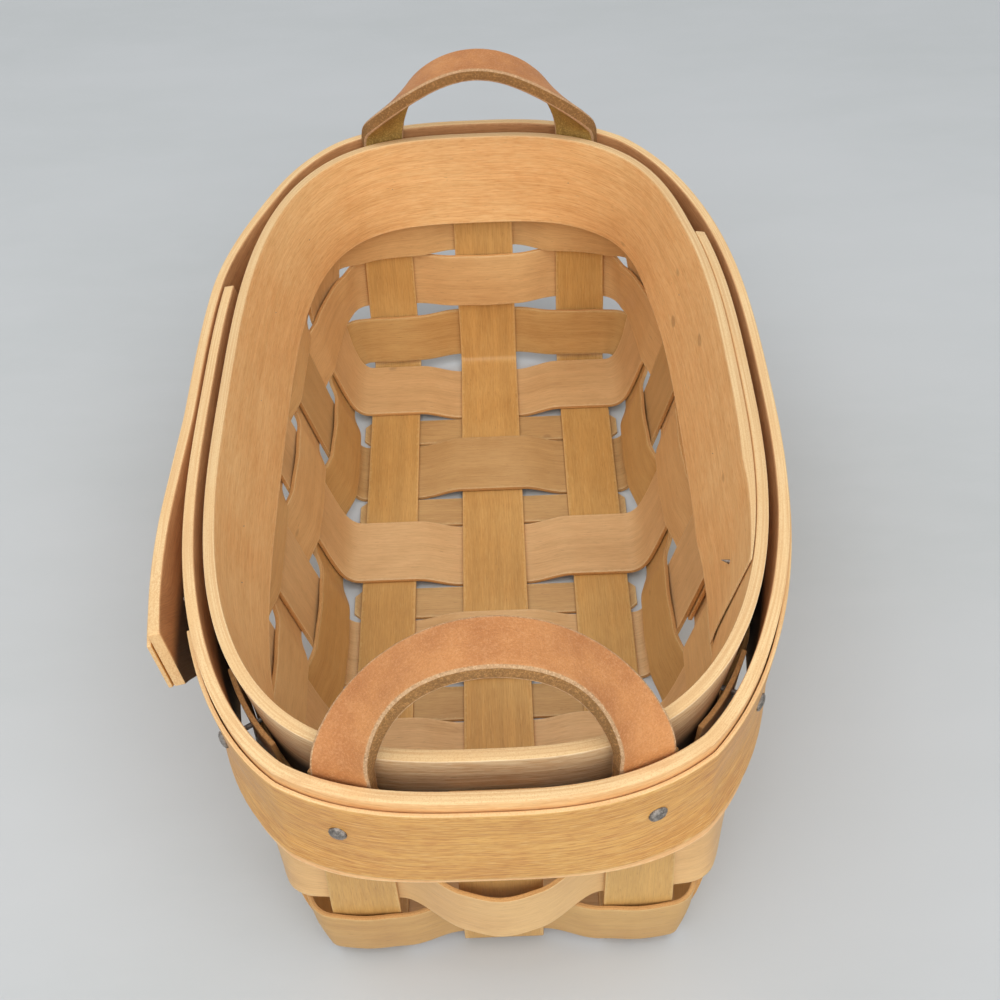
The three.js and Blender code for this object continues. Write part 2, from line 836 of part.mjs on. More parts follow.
// The spot on the trim's outer face over a station, with the face's own normal
function trimSpot(station) {
  const outline = outlineAt(rim_height);
  const wanted = stationLength(station, outline);
  const first = band_end - band_loop.length;
  const run = (step) => stationLength(bandStation(step), outline);
  const ahead = (step) => (wanted - run(step) + outline.total) % outline.total;
  const step = steps(first, band_end - 1).reduce((best, s) => (ahead(s) < ahead(best) ? s : best));
  const share = ahead(step) / ((run(step + 1) - run(step) + outline.total) % outline.total);
  const face = (s, height) => wallPoint(bandStation(s), height, trimFace(s, height) + trim_thickness);
  const here = face(step, tack_height);
  const next = face(step + 1, tack_height);
  const up = face(step, trim_top).sub(face(step, rows_top));
  const normal = next.clone().sub(here).cross(up).normalize();
  return { point: here.lerp(next, share), normal };
}

function placeTack(geometry, station, offset) {
  const spot = trimSpot(station);
  const turn = new THREE.Quaternion().setFromUnitVectors(new THREE.Vector3(0, 1, 0), spot.normal);
  const point = spot.point.addScaledVector(spot.normal, offset);
  return geometry.applyQuaternion(turn).translate(point.x, point.y, point.z);
}

// Thickness of all that the tack passes through, from the trim's face to the inner band's face
function tackGrip(station) {
  const spot = trimSpot(station);
  const wall = wallFrame(station, tack_height);
  return spot.point.sub(wall.point).dot(wall.normal) + innerBandDepth(station);
}

function innerBandDepth(station) {
  const point = wallPosition(station, tack_height);
  const lap_first = crossPlace(1);
  const lap_last = crossPlace(1 + inner_lap_uprights) - cross_stake_width / 2;
  const in_lap = point.x > side_stake_place && point.y < lap_first && point.y > lap_last;
  const plies = in_lap ? 2 : 1;
  return bandStand(tack_height, inner_band_foot) + plies * band_thickness + (plies - 1) * clearance;
}

function tack(station) {
  const depth = clearance + tackGrip(station) + tack_tip_proud;
  const crown_radius = tack_head_radius * tack_crown_radius_share;
  const points = [
    new THREE.Vector2(0, -depth),
    new THREE.Vector2(tack_shank_radius, -depth + tack_point),
    new THREE.Vector2(tack_shank_radius, 0),
    new THREE.Vector2(tack_head_radius, 0),
    new THREE.Vector2(tack_head_radius, tack_head_height * tack_rim_height_share),
    new THREE.Vector2(crown_radius, tack_head_height * tack_crown_height_share),
    new THREE.Vector2(0, tack_head_height),
  ];
  return placeTack(new THREE.LatheGeometry(points, tack_sides), station, clearance);
}

function drillFor(station) {
  const radius = tack_shank_radius + tack_clearance;
  const length = tackGrip(station) + 2 * drill_overrun;
  const geometry = new THREE.CylinderGeometry(radius, radius, length, drill_sides);
  geometry.translate(0, drill_overrun - length / 2, 0);
  return toSolid(placeTack(geometry, station, 0));
}

const drills = tack_spots.map((spot) => drillFor(spot.at));

function drilled(geometry) {
  let solid = toSolid(geometry);
  for (const drill of drills) {
    solid = solid.subtract(drill);
  }
  return toGeometry(solid);
}

const group = new THREE.Group();
const add = (name, geometry, colour, roughness, metalness) => {
  group.add(makeMesh(name, geometry, colour, roughness, metalness));
};

const long_names = ['long_stake_right', 'long_stake_centre', 'long_stake_left'];
for (let i = 0; i < long_names.length; i++) {
  add(long_names[i], drilled(longStake(i)), colours.stake, 0.7);
}
for (let i = 0; i < cross_stake_count; i++) {
  add(`cross_stake_${i + 1}`, drilled(crossStake(i)), colours.stake, 0.7);
}
for (let i = 0; i < cross_stake_count - 1; i++) {
  add(`base_filler_${i + 1}`, filler(i), colours.filler, 0.75);
}
const lap_uprights = [findUpright('cross', -1, 2), findUpright('cross', 1, 3), findUpright('long', 1, 1)];
for (let row = 0; row < row_count; row++) {
  add(`weaver_row_${row + 1}`, weaver(row, lap_uprights[row]), colours.weaver, 0.65);
}
add('inner_band', drilled(innerBand()), colours.band, 0.6);
add('outer_band', drilled(outerBand()), colours.band, 0.6);
add('trim_strip', drilled(trimStrip()), colours.trim, 0.6);
add('handle_far', drilled(handle(1)), colours.leather, 0.55);
add('handle_near', drilled(handle(-1)), colours.leather, 0.55);
for (const spot of tack_spots) {
  add(spot.name, tack(spot.at), colours.steel, 0.45, 0.8);
}

export default group;
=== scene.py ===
import logging
import math
from dataclasses import dataclass, field
from enum import Enum
from typing import NamedTuple

import bpy
import numpy as np
from mathutils import Matrix, Vector, noise


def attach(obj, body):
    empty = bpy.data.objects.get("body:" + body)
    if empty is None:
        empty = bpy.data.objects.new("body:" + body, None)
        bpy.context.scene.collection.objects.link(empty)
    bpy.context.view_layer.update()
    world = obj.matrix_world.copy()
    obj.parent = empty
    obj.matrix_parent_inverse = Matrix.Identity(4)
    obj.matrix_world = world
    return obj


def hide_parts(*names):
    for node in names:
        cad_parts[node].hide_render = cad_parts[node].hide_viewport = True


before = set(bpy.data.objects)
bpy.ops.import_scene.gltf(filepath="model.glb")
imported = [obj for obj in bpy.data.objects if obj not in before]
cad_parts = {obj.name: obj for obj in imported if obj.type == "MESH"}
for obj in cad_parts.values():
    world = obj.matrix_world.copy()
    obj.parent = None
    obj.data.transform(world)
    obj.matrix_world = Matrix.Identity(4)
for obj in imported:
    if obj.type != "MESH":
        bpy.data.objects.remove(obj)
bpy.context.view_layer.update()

logger = logging.getLogger("oval_basket")

Material = bpy.types.Material
Socket = bpy.types.NodeSocket
Triple = tuple[float, float, float]

MM = 0.001
BODY = "root"
DOWN = np.array([0.0, 0.0, -1.0])
# How far below the rim the painted shade in the slot between the bands begins.
SLOT_SHADE_DROP = 10.5
SMOOTH_ANGLE = 38.0
ROUGH_SHIFT = (3.1, 1.7, 0.9)
ROUGH_OCTAVE = 2.7
GRAIN_REACH = 9.0
TOLERANCE = 1e-9


class Face(Enum):
    """Places in a strip's list of materials, of which the last two may be left out."""

    FRONT = 0
    EDGE = 1
    BACK = 2
    CORNER = 3


class Layer(NamedTuple):
    """A colour laid over others where a value lies in a span.

    The shares say how much of it shows at the span's low and high ends.
    """

    value: Socket
    low: float
    high: float
    low_share: float
    high_share: float
    colour: object
    blend: str = "MIX"


class Nodes:
    """A material's node tree, with short helpers for the nodes that the finishes share."""

    # The mix node's sockets for colours, by number, as its socket names repeat
    MIX_SHARE, MIX_FIRST, MIX_SECOND, MIX_RESULT = 0, 6, 7, 2

    def __init__(self, name: str) -> None:
        """Starts an empty material around its principled shader.

        Args:
            name: the material's name.
        """
        self.material = bpy.data.materials.new(name)
        self.material.use_nodes = True
        self.tree = self.material.node_tree
        self.tree.nodes.clear()
        self.shader = self.node("BsdfPrincipled")
        self.node("OutputMaterial", {"Surface": self.shader.outputs["BSDF"]})

    def fill(self, node: bpy.types.Node, inputs: dict[str | int, object]) -> None:
        """Fills a node's inputs.

        Args:
            node: the node.
            inputs: a socket, a colour or a number for each input's name or number.
        """
        for key, value in inputs.items():
            if isinstance(value, Socket):
                self.tree.links.new(value, node.inputs[key])
            else:
                held = (*value, 1.0) if isinstance(value, tuple) else value
                node.inputs[key].default_value = held

    def node(
        self, kind: str, inputs: dict[str | int, object] | None = None, **settings: object
    ) -> bpy.types.Node:
        """Adds a node.

        Args:
            kind: the node's type, without its common prefix.
            inputs: what its inputs take.
            **settings: properties to set on it.

        Returns:
            The new node.
        """
        made = self.tree.nodes.new(f"ShaderNode{kind}")
        for key, value in settings.items():
            setattr(made, key, value)
        self.fill(made, inputs or {})
        return made

    def place(self) -> Socket:
        """Reads the position on the piece, in metres."""
        return self.node("TexCoord").outputs["Object"]

    def attribute(self, name: str, output: str = "Fac") -> Socket:
        """Reads the piece's own attribute."""
        made = self.node("Attribute", attribute_type="GEOMETRY", attribute_name=name)
        return made.outputs[output]

    def noise(
        self, vector: Socket, scale: float | Triple, detail: float = 2.0, rough: float = 0.5
    ) -> Socket:
        """Adds a noise texture.

        Args:
            vector: the position to read it at, in metres.
            scale: features for each metre, one number or one for each axis.
            detail: octaves.
            rough: weight of the finer octaves.

        Returns:
            The noise value, about a half on average.
        """
        if isinstance(scale, tuple):
            stretch = self.node("Mapping", {"Vector": vector, "Scale": Vector(scale)})
            vector, scale = stretch.outputs["Vector"], 1.0
        inputs = {"Vector": vector, "Scale": scale, "Detail": detail, "Roughness": rough}
        return self.node("TexNoise", inputs, noise_dimensions="3D").outputs["Fac"]

    def span(
        self, value: Socket, low: float, high: float, first: float = 0.0, last: float = 1.0
    ) -> Socket:
        """Maps a range of values smoothly to another range.

        Args:
            value: the input.
            low: input at which the output is first.
            high: input at which the output is last.
            first: output below low.
            last: output above high.

        Returns:
            The mapped value.
        """
        inputs = {
            "Value": value, "From Min": low, "From Max": high, "To Min": first, "To Max": last
        }
        made = self.node("MapRange", inputs, interpolation_type="SMOOTHSTEP", clamp=True)
        return made.outputs["Result"]

    def mixed(self, share: Socket, first: object, second: object, blend: str = "MIX") -> Socket:
        """Mixes two colours, each a socket or plain numbers.

        Args:
            share: how much of the second colour shows.
            first: first colour.
            second: second colour.
            blend: the way of mixing.

        Returns:
            The mixed colour.
        """
        inputs = {self.MIX_SHARE: share, self.MIX_FIRST: first, self.MIX_SECOND: second}
        made = self.node("Mix", data_type="RGBA", blend_type=blend, clamp_result=False)
        self.fill(made, inputs)
        return made.outputs[self.MIX_RESULT]

    def layered(self, colour: object, *layers: Layer) -> Socket:
        """Lays colours over a first one.

        Args:
            colour: the first colour, which lies lowest.
            *layers: the others, in order.

        Returns:
            The colour that shows.
        """
        for value, low, high, low_share, high_share, over, blend in layers:
            share = self.span(value, low, high, low_share, high_share)
            colour = self.mixed(share, colour, over, blend)
        return colour

    def combined(self, first: Socket, second: object, operation: str = "MULTIPLY") -> Socket:
        """Does arithmetic on a value and a socket or number."""
        return self.node("Math", {0: first, 1: second}, operation=operation).outputs[0]

    def toned(self, colour: Socket, **spans: tuple[float, float]) -> Socket:
        """Shifts a colour by the piece's tone.

        Args:
            colour: the colour.
            **spans: for Value and Saturation, the factor at a tone of 0 and of 1.

        Returns:
            The shifted colour.
        """
        tone = self.attribute("tone")
        inputs = {key: self.span(tone, 0.0, 1.0, *ends) for key, ends in spans.items()}
        return self.node("HueSaturation", {"Color": colour, **inputs}).outputs["Color"]

    def finished(
        self, colour: Socket, roughness: object, height: Socket, strength: float, depth: float,
        specular: float = 0.5, metallic: float = 0.0,
    ) -> Material:
        """Feeds the shader.

        Args:
            colour: the surface's colour.
            roughness: its roughness, a socket or a number.
            height: its relief.
            strength: how strongly the relief shows.
            depth: depth of the relief in metres.
            specular: strength of its gloss.
            metallic: how much of it is bare metal.

        Returns:
            The material.
        """
        relief = {"Strength": strength, "Distance": depth, "Height": height}
        self.fill(self.shader, {
            "Base Color": colour, "Roughness": roughness, "Specular IOR Level": specular,
            "Metallic": metallic, "Normal": self.node("Bump", relief).outputs["Normal"],
        })
        return self.material


def linear(*colours: Triple) -> list[Triple]:
    """Turns screen colours into the linear colours that the shader takes.

    Args:
        *colours: red, green and blue of each, from 0 to 255.

    Returns:
        The linear colours, from 0 to 1.
    """
    made = []
    for colour in colours:
        shares = (channel / 255 for channel in colour)
        made.append(
            tuple(s / 12.92 if s <= 0.04045 else ((s + 0.055) / 1.055) ** 2.4 for s in shares)
        )
    return made


@dataclass(frozen=True)
class SplintFinish:
    """Honey-stained wood whose grain runs along the splint.

    Its first four colours are screen colours and its marks' are linear. Streaks and fibres are
    counted for each metre across the grain. Painted shade, where there is any, darkens it below a
    height, standing in for the shade in the slot between the bands.
    """

    name: str
    deep: Triple
    honey: Triple
    pale: Triple
    worn: Triple
    streaks: float = 330.0
    fibre: float = 2600.0
    fibre_share: float = 0.15
    streak_floor: float = 0.55
    roughness: float = 0.46
    wear: float = 0.35
    wear_reach: float = 0.9
    bump: float = 0.35
    fleck_colour: Triple = (0.22, 0.11, 0.045)
    knot_colour: Triple = (0.14, 0.065, 0.03)
    slot_shade_colour: Triple = (0.035, 0.02, 0.011)
    slot_shade_from: float | None = None
    slot_shade_fade: float = 6 * MM
    slot_shade_share: float = 0.94

    def material(self) -> Material:
        """Builds the finish from streaks, fibres, flecks and blotches along the grain.

        Returns:
            The material, which reads the piece's grain, edge and tone attributes.
        """
        n = Nodes(self.name)
        deep, honey, pale, worn = linear(self.deep, self.honey, self.pale, self.worn)
        grain, place = n.attribute("grain", "Vector"), n.place()
        streak = n.noise(grain, (9.0, self.streaks, self.streaks), 4.0, 0.6)
        fibre = n.noise(grain, (110.0, self.fibre, self.fibre), 3.0, 0.6)
        pore = n.noise(grain, (300.0, 4600.0, 4600.0), 1.0, 0.5)
        fleck = n.noise(grain, (420.0, 2300.0, 2300.0), 1.0, 0.4)
        knot = n.noise(grain, (95.0, 190.0, 190.0), 0.0, 0.4)
        blotch = n.noise(place, 26.0, 3.0, 0.55)
        cloud = n.noise(place, 95.0, 2.0, 0.5)
        uneven = n.span(n.noise(place, 900.0), 0.3, 0.7, 0.6, 1.6)
        ragged = n.combined(n.attribute("edge"), uneven)
        colour = n.layered(
            deep,
            Layer(streak, 0.28, 0.72, self.streak_floor, 1.0, honey),
            Layer(blotch, 0.36, 0.72, 0.0, 0.6, pale),
            Layer(cloud, 0.40, 0.75, 0.0, 0.15, deep),
            Layer(fibre, 0.35, 0.62, self.fibre_share, 0.0, deep, "MULTIPLY"),
            Layer(pore, 0.57, 0.67, 0.0, self.fibre_share, deep, "MULTIPLY"),
            Layer(pore, 0.30, 0.40, self.fibre_share, 0.0, worn),
            Layer(fleck, 0.70, 0.80, 0.0, 0.30, self.fleck_colour),
            Layer(knot, 0.84, 0.90, 0.0, 0.35, self.knot_colour),
            Layer(ragged, 0.05, self.wear_reach, self.wear, 0.0, worn),
        )
        # Painted shade: a near-black darkening below a height, standing in for the shade in the
        # slot between the bands.
        if self.slot_shade_from is not None:
            height = n.node("SeparateXYZ", {"Vector": place}).outputs["Z"]
            low = self.slot_shade_from - self.slot_shade_fade
            slot_shade_mask = n.span(height, low, self.slot_shade_from, self.slot_shade_share, 0.0)
            patchy_shade_mask = n.combined(slot_shade_mask, n.span(blotch, 0.2, 0.5, 0.9, 1.0))
            colour = n.mixed(patchy_shade_mask, colour, self.slot_shade_colour)
        dull, glossy = self.roughness + 0.1, self.roughness - 0.07
        roughness = n.span(n.combined(fibre, blotch, "ADD"), 0.7, 1.3, glossy, dull)
        relief = n.combined(fibre, n.combined(streak, 0.8), "ADD")
        toned = n.toned(colour, Value=(0.84, 1.16), Saturation=(1.04, 0.94))
        return n.finished(toned, roughness, relief, self.bump, 0.16 * MM, specular=0.42)


@dataclass(frozen=True)
class CutEdgeFinish:
    """The cut long edge of a splint or band, where bare layers of the wood show as fine lines."""

    name: str
    cream: Triple
    line: Triple
    stain: Triple
    plainness: float = 0.35
    roughness: float = 0.72

    def material(self) -> Material:
        """Builds the layered edge.

        Returns:
            The material, which reads the grain and tone attributes.
        """
        n = Nodes(self.name)
        cream, line, stain = linear(self.cream, self.line, self.stain)
        place = n.place()
        plies = n.noise(n.attribute("grain", "Vector"), (16.0, 1300.0, 2200.0), 3.0, 0.6)
        fuzz = n.noise(place, 3200.0, 2.0, 0.6)
        blotch = n.noise(place, 60.0, 3.0, 0.55)
        colour = n.layered(
            line,
            Layer(plies, 0.36, 0.62, self.plainness, 1.0, cream),
            Layer(blotch, 0.42, 0.70, 0.0, 0.6, stain),
            Layer(fuzz, 0.50, 0.66, 0.0, 0.5, line),
        )
        relief = n.combined(plies, fuzz, "ADD")
        toned = n.toned(colour, Value=(0.86, 1.14))
        return n.finished(toned, self.roughness, relief, 0.5, 0.18 * MM, specular=0.3)


@dataclass(frozen=True)
class LeatherFinish:
    """One side of a thick saddle-leather strap."""

    name: str
    deep: Triple
    main: Triple
    light: Triple
    pores: float = 2100.0
    roughness: float = 0.55
    bump: float = 0.5
    fibres: float = 0.0
    fibre_scale: float = 1900.0

    def material(self) -> Material:
        """Builds pores, wear clouds and, on the raw sides, loose fibres.

        Returns:
            The material, which reads Object coordinates and the edge attribute.
        """
        n = Nodes(self.name)
        deep, main, light = linear(self.deep, self.main, self.light)
        place = n.place()
        cloud = n.noise(place, 55.0, 4.0, 0.6)
        scuff = n.noise(place, 420.0, 3.0, 0.65)
        fibre = n.noise(place, self.fibre_scale, 3.0, 0.8)
        pores = n.node(
            "TexVoronoi", {"Scale": self.pores, "Vector": place}, feature="DISTANCE_TO_EDGE"
        ).outputs["Distance"]
        ragged = n.combined(n.attribute("edge"), n.span(scuff, 0.3, 0.7, 0.5, 1.7))
        fibre_share = 0.35 + self.fibres
        colour = n.layered(
            deep,
            Layer(cloud, 0.34, 0.66, 0.0, 1.0, main),
            Layer(scuff, 0.50, 0.78, 0.0, 0.35, light),
            Layer(fibre, 0.50, 0.62, 0.0, fibre_share, light),
            Layer(fibre, 0.38, 0.48, fibre_share, 0.0, deep),
            Layer(ragged, 0.10, 1.10, 0.45, 0.0, light),
        )
        roughness = n.span(scuff, 0.3, 0.7, self.roughness - 0.08, self.roughness + 0.12)
        nap = n.combined(fibre, 1.2 + 2 * self.fibres)
        relief = n.combined(n.span(pores, 0.0, 0.12), nap, "ADD")
        return n.finished(colour, roughness, relief, self.bump, 0.18 * MM, specular=0.35)


@dataclass(frozen=True)
class SteelFinish:
    """Dull, scratched grey tack steel, with a little rust. Its colours are linear."""

    name: str
    dark: Triple
    light: Triple
    scratch: Triple = (0.55, 0.52, 0.48)
    rust: Triple = (0.20, 0.10, 0.05)

    def material(self) -> Material:
        """Builds the worn metal."""
        n = Nodes(self.name)
        place = n.place()
        patches = n.noise(place, 900.0, 4.0, 0.7)
        scratches = n.noise(place, (900.0, 5200.0, 5200.0), 2.0, 0.6)
        colour = n.layered(
            self.dark,
            Layer(patches, 0.36, 0.66, 0.0, 1.0, self.light),
            Layer(scratches, 0.55, 0.75, 0.0, 0.5, self.scratch),
            Layer(patches, 0.62, 0.74, 0.0, 0.6, self.rust),
        )
        roughness = n.span(patches, 0.3, 0.7, 0.38, 0.66)
        relief = n.combined(patches, scratches, "ADD")
        return n.finished(colour, roughness, relief, 0.6, 0.3 * MM, metallic=0.75)


@dataclass(frozen=True)
class FloorFinish:
    """Pale grey floor, softly mottled."""

    name: str
    pale: Triple
    shade: Triple

    def material(self) -> Material:
        """Builds the floor's finish."""
        n = Nodes(self.name)
        pale, shade = linear(self.pale, self.shade)
        place = n.place()
        broad = n.noise(place, (2.2, 6.0, 1.0), 4.0, 0.6)
        fine = n.noise(place, (30.0, 70.0, 1.0), 5.0, 0.7)
        colour = n.layered(
            shade,
            Layer(broad, 0.3, 0.7, 0.0, 1.0, pale),
            Layer(fine, 0.35, 0.75, 0.0, 0.4, pale),
        )
        return n.finished(colour, 0.6, fine, 0.12, 0.4 * MM)


@dataclass(frozen=True)
class BasketSizes:
    """Sizes shared by every sub-assembly, in millimetres, as the frame has them."""

    splint: float = 1.2
    band: float = 2.8
    trim: float = 1.0
    leather: float = 3.8
    gap: float = 0.3
    centre_width: float = 19.0
    side_width: float = 16.0
    side_place: float = 31.5
    cross_width: float = 24.0
    cross_count: int = 6
    base_margin: float = 4.6
    rim_height: float = 87.0
    rim_half_length: float = 118.3
    rim_half_width: float = 68.4
    left_rim_squareness: float = 3.05
    right_rim_squareness: float = 2.72
    base_squareness: float = 24.0
    corner_ease: float = 3.0
    end_flare: float = 8.2
    side_tuck: float = 1.8
    end_tuck: float = 1.0
    tuck_height: float = 20.0
    row_count: int = 3
    row_gap: float = 0.9
    low_row_gap: float = 3.7
    low_row_share: float = 0.92
    row_start: float = 4.4
    bare_stake_top: float = 23.0
    belly_drop: float = 8.5
    belly_bulge: float = 3.0
    belly_reach: float = 0.75
    filler_gap: float = 0.95
    filler_snip_share: float = 0.22
    filler_overhang: float = 2.2
    inner_band_height: float = 28.8
    outer_band_height: float = 34.8
    trim_height: float = 28.0
    trim_drop: float = 3.2
    stake_drop: float = 11.0
    slot_slack: float = 0.5
    slot_ease: float = 3.2
    slot_foot_ease: float = 10.0
    lap_gap: float = 1.0
    tail_flare: float = 5.7
    tail_ease: float = 1.3
    tail_tip_height: float = 20.0
    skive: float = 0.4
    handle_place: float = 29.0
    strap_width: float = 12.7
    loop_height: float = 25.3
    loop_lean: float = 6.8
    tack_drop: float = 14.0

    @property
    def layer(self) -> float:
        """Distance between the middles of two splints that lie on each other."""
        return self.splint + self.gap

    @property
    def rows_top(self) -> float:
        """Height of the top weaver's upper edge."""
        return self.rim_height - self.bare_stake_top

    @property
    def row_width(self) -> float:
        """Width of the weavers above the lowest."""
        gaps = self.low_row_gap + (self.row_count - 2) * self.row_gap
        cover = self.rows_top - self.row_start - gaps
        return cover / (self.row_count - 1 + self.low_row_share)

    def row_span(self, row: int) -> tuple[float, float]:
        """Finds where a weaver lies on the wall.

        Args:
            row: its number, 0 being the lowest.

        Returns:
            Heights of its lower and upper edge.
        """
        low_top = self.row_start + self.row_width * self.low_row_share
        if row == 0:
            return (self.row_start, low_top)
        foot = low_top + self.low_row_gap + (row - 1) * (self.row_width + self.row_gap)
        return (foot, foot + self.row_width)

    @property
    def base_half_length(self) -> float:
        """Half length of the base."""
        return self.rim_half_length - self.end_flare

    @property
    def base_half_width(self) -> float:
        """Half width of the base."""
        return self.side_place + self.side_width / 2 + self.base_margin

    @property
    def cross_reach(self) -> float:
        """Distance of the outermost cross stakes from the middle."""
        return self.base_half_length - self.base_margin - self.cross_width / 2

    @property
    def cross_pitch(self) -> float:
        """Distance from one cross stake to the next."""
        return 2 * self.cross_reach / (self.cross_count - 1)

    @property
    def levels(self) -> tuple[float, float, float]:
        """Heights of the low, middle and high splints of the base."""
        low = self.splint / 2
        return (low, low + self.layer, low + 2 * self.layer)

    @property
    def longs(self) -> tuple[tuple[float, float], ...]:
        """Place across the basket and width of the right, centre and left long stake."""
        side = (self.side_place, self.side_width)
        return (side, (0.0, self.centre_width), (-self.side_place, self.side_width))

    @property
    def stake_face(self) -> float:
        """Where a band's face lies when it leans on the stakes."""
        return self.splint / 2 + self.gap

    @property
    def weaver_face(self) -> float:
        """Where a band's face lies when it leans on the top weaver."""
        return self.stake_face + self.splint + self.gap

    def cross_place(self, index: int) -> float:
        """Place of a cross stake along the basket, 0 being the far one."""
        return self.cross_reach - index * self.cross_pitch


def smooth(share: np.ndarray | float) -> np.ndarray | float:
    """Eases a share from 0 to 1, and holds it there outside that span."""
    held = np.clip(share, 0.0, 1.0)
    return held * held * (3 - 2 * held)


def between(first: object, last: object, share: object) -> object:
    """Goes straight from one value to another."""
    return first + (last - first) * share


def unit(vectors: np.ndarray) -> np.ndarray:
    """Brings vectors to a length of one."""
    return vectors / np.linalg.norm(vectors, axis=-1, keepdims=True)


class WallLine:
    """The wall's line at one height, a superellipse that is squarer near the base."""

    SAMPLES = 1440

    def __init__(self, sizes: BasketSizes, height: float) -> None:
        """Samples the line and measures along it.

        Args:
            sizes: the basket's sizes.
            height: the line's height.
        """
        s = sizes
        rise = height / s.rim_height
        low = max(0.0, 1 - height / s.tuck_height) ** 2
        self.half_length = between(s.base_half_length, s.rim_half_length, rise) - s.end_tuck * low
        self.half_width = between(s.base_half_width, s.rim_half_width, rise) - s.side_tuck * low
        fall = max(0.0, 1 - rise) ** s.corner_ease
        self.left_power = between(s.left_rim_squareness, s.base_squareness, fall)
        self.right_power = between(s.right_rim_squareness, s.base_squareness, fall)
        angle = np.linspace(-math.pi / 2, 1.5 * math.pi, self.SAMPLES + 1)
        power = np.where(np.cos(angle) > 0, self.right_power, self.left_power)
        across = (np.abs(np.cos(angle)) / self.half_width) ** power
        along = (np.abs(np.sin(angle)) / self.half_length) ** power
        radius = (across + along) ** (-1 / power)
        self.points = np.stack([radius * np.cos(angle), radius * np.sin(angle)], axis=1)
        steps = np.linalg.norm(np.diff(self.points, axis=0), axis=1)
        self.lengths = np.concatenate([[0.0], np.cumsum(steps)])
        self.total = float(self.lengths[-1])

    def at(self, length: np.ndarray) -> np.ndarray:
        """Finds points by their distance along the line from the near end."""
        held = np.mod(length, self.total)
        return np.stack([np.interp(held, self.lengths, self.points[:, k]) for k in (0, 1)], axis=-1)

    def length_to(self, x: float, y: float) -> float:
        """Measures along the line to the direction of a point."""
        turn = ((math.atan2(y, x) + math.pi / 2) / (2 * math.pi)) % 1.0
        return float(np.interp(turn * self.SAMPLES, np.arange(self.SAMPLES + 1), self.lengths))

    def power_at(self, across: float) -> float:
        """Squareness of one side, as the basket has gone a little out of true."""
        return self.right_power if across > 0 else self.left_power

    def width_at(self, along: float, side: int) -> float:
        """Half breadth of the line on one side, at a place along it."""
        power = self.power_at(side)
        return self.half_width * (1 - (abs(along) / self.half_length) ** power) ** (1 / power)

    def length_at(self, across: float) -> float:
        """Half length of the line at a place across it."""
        power = self.power_at(across)
        return self.half_length * (1 - (abs(across) / self.half_width) ** power) ** (1 / power)


@dataclass(frozen=True)
class Upright:
    """One end of a stake where it stands in the wall."""

    kind: str
    side: int
    index: int
    place: float
    width: float


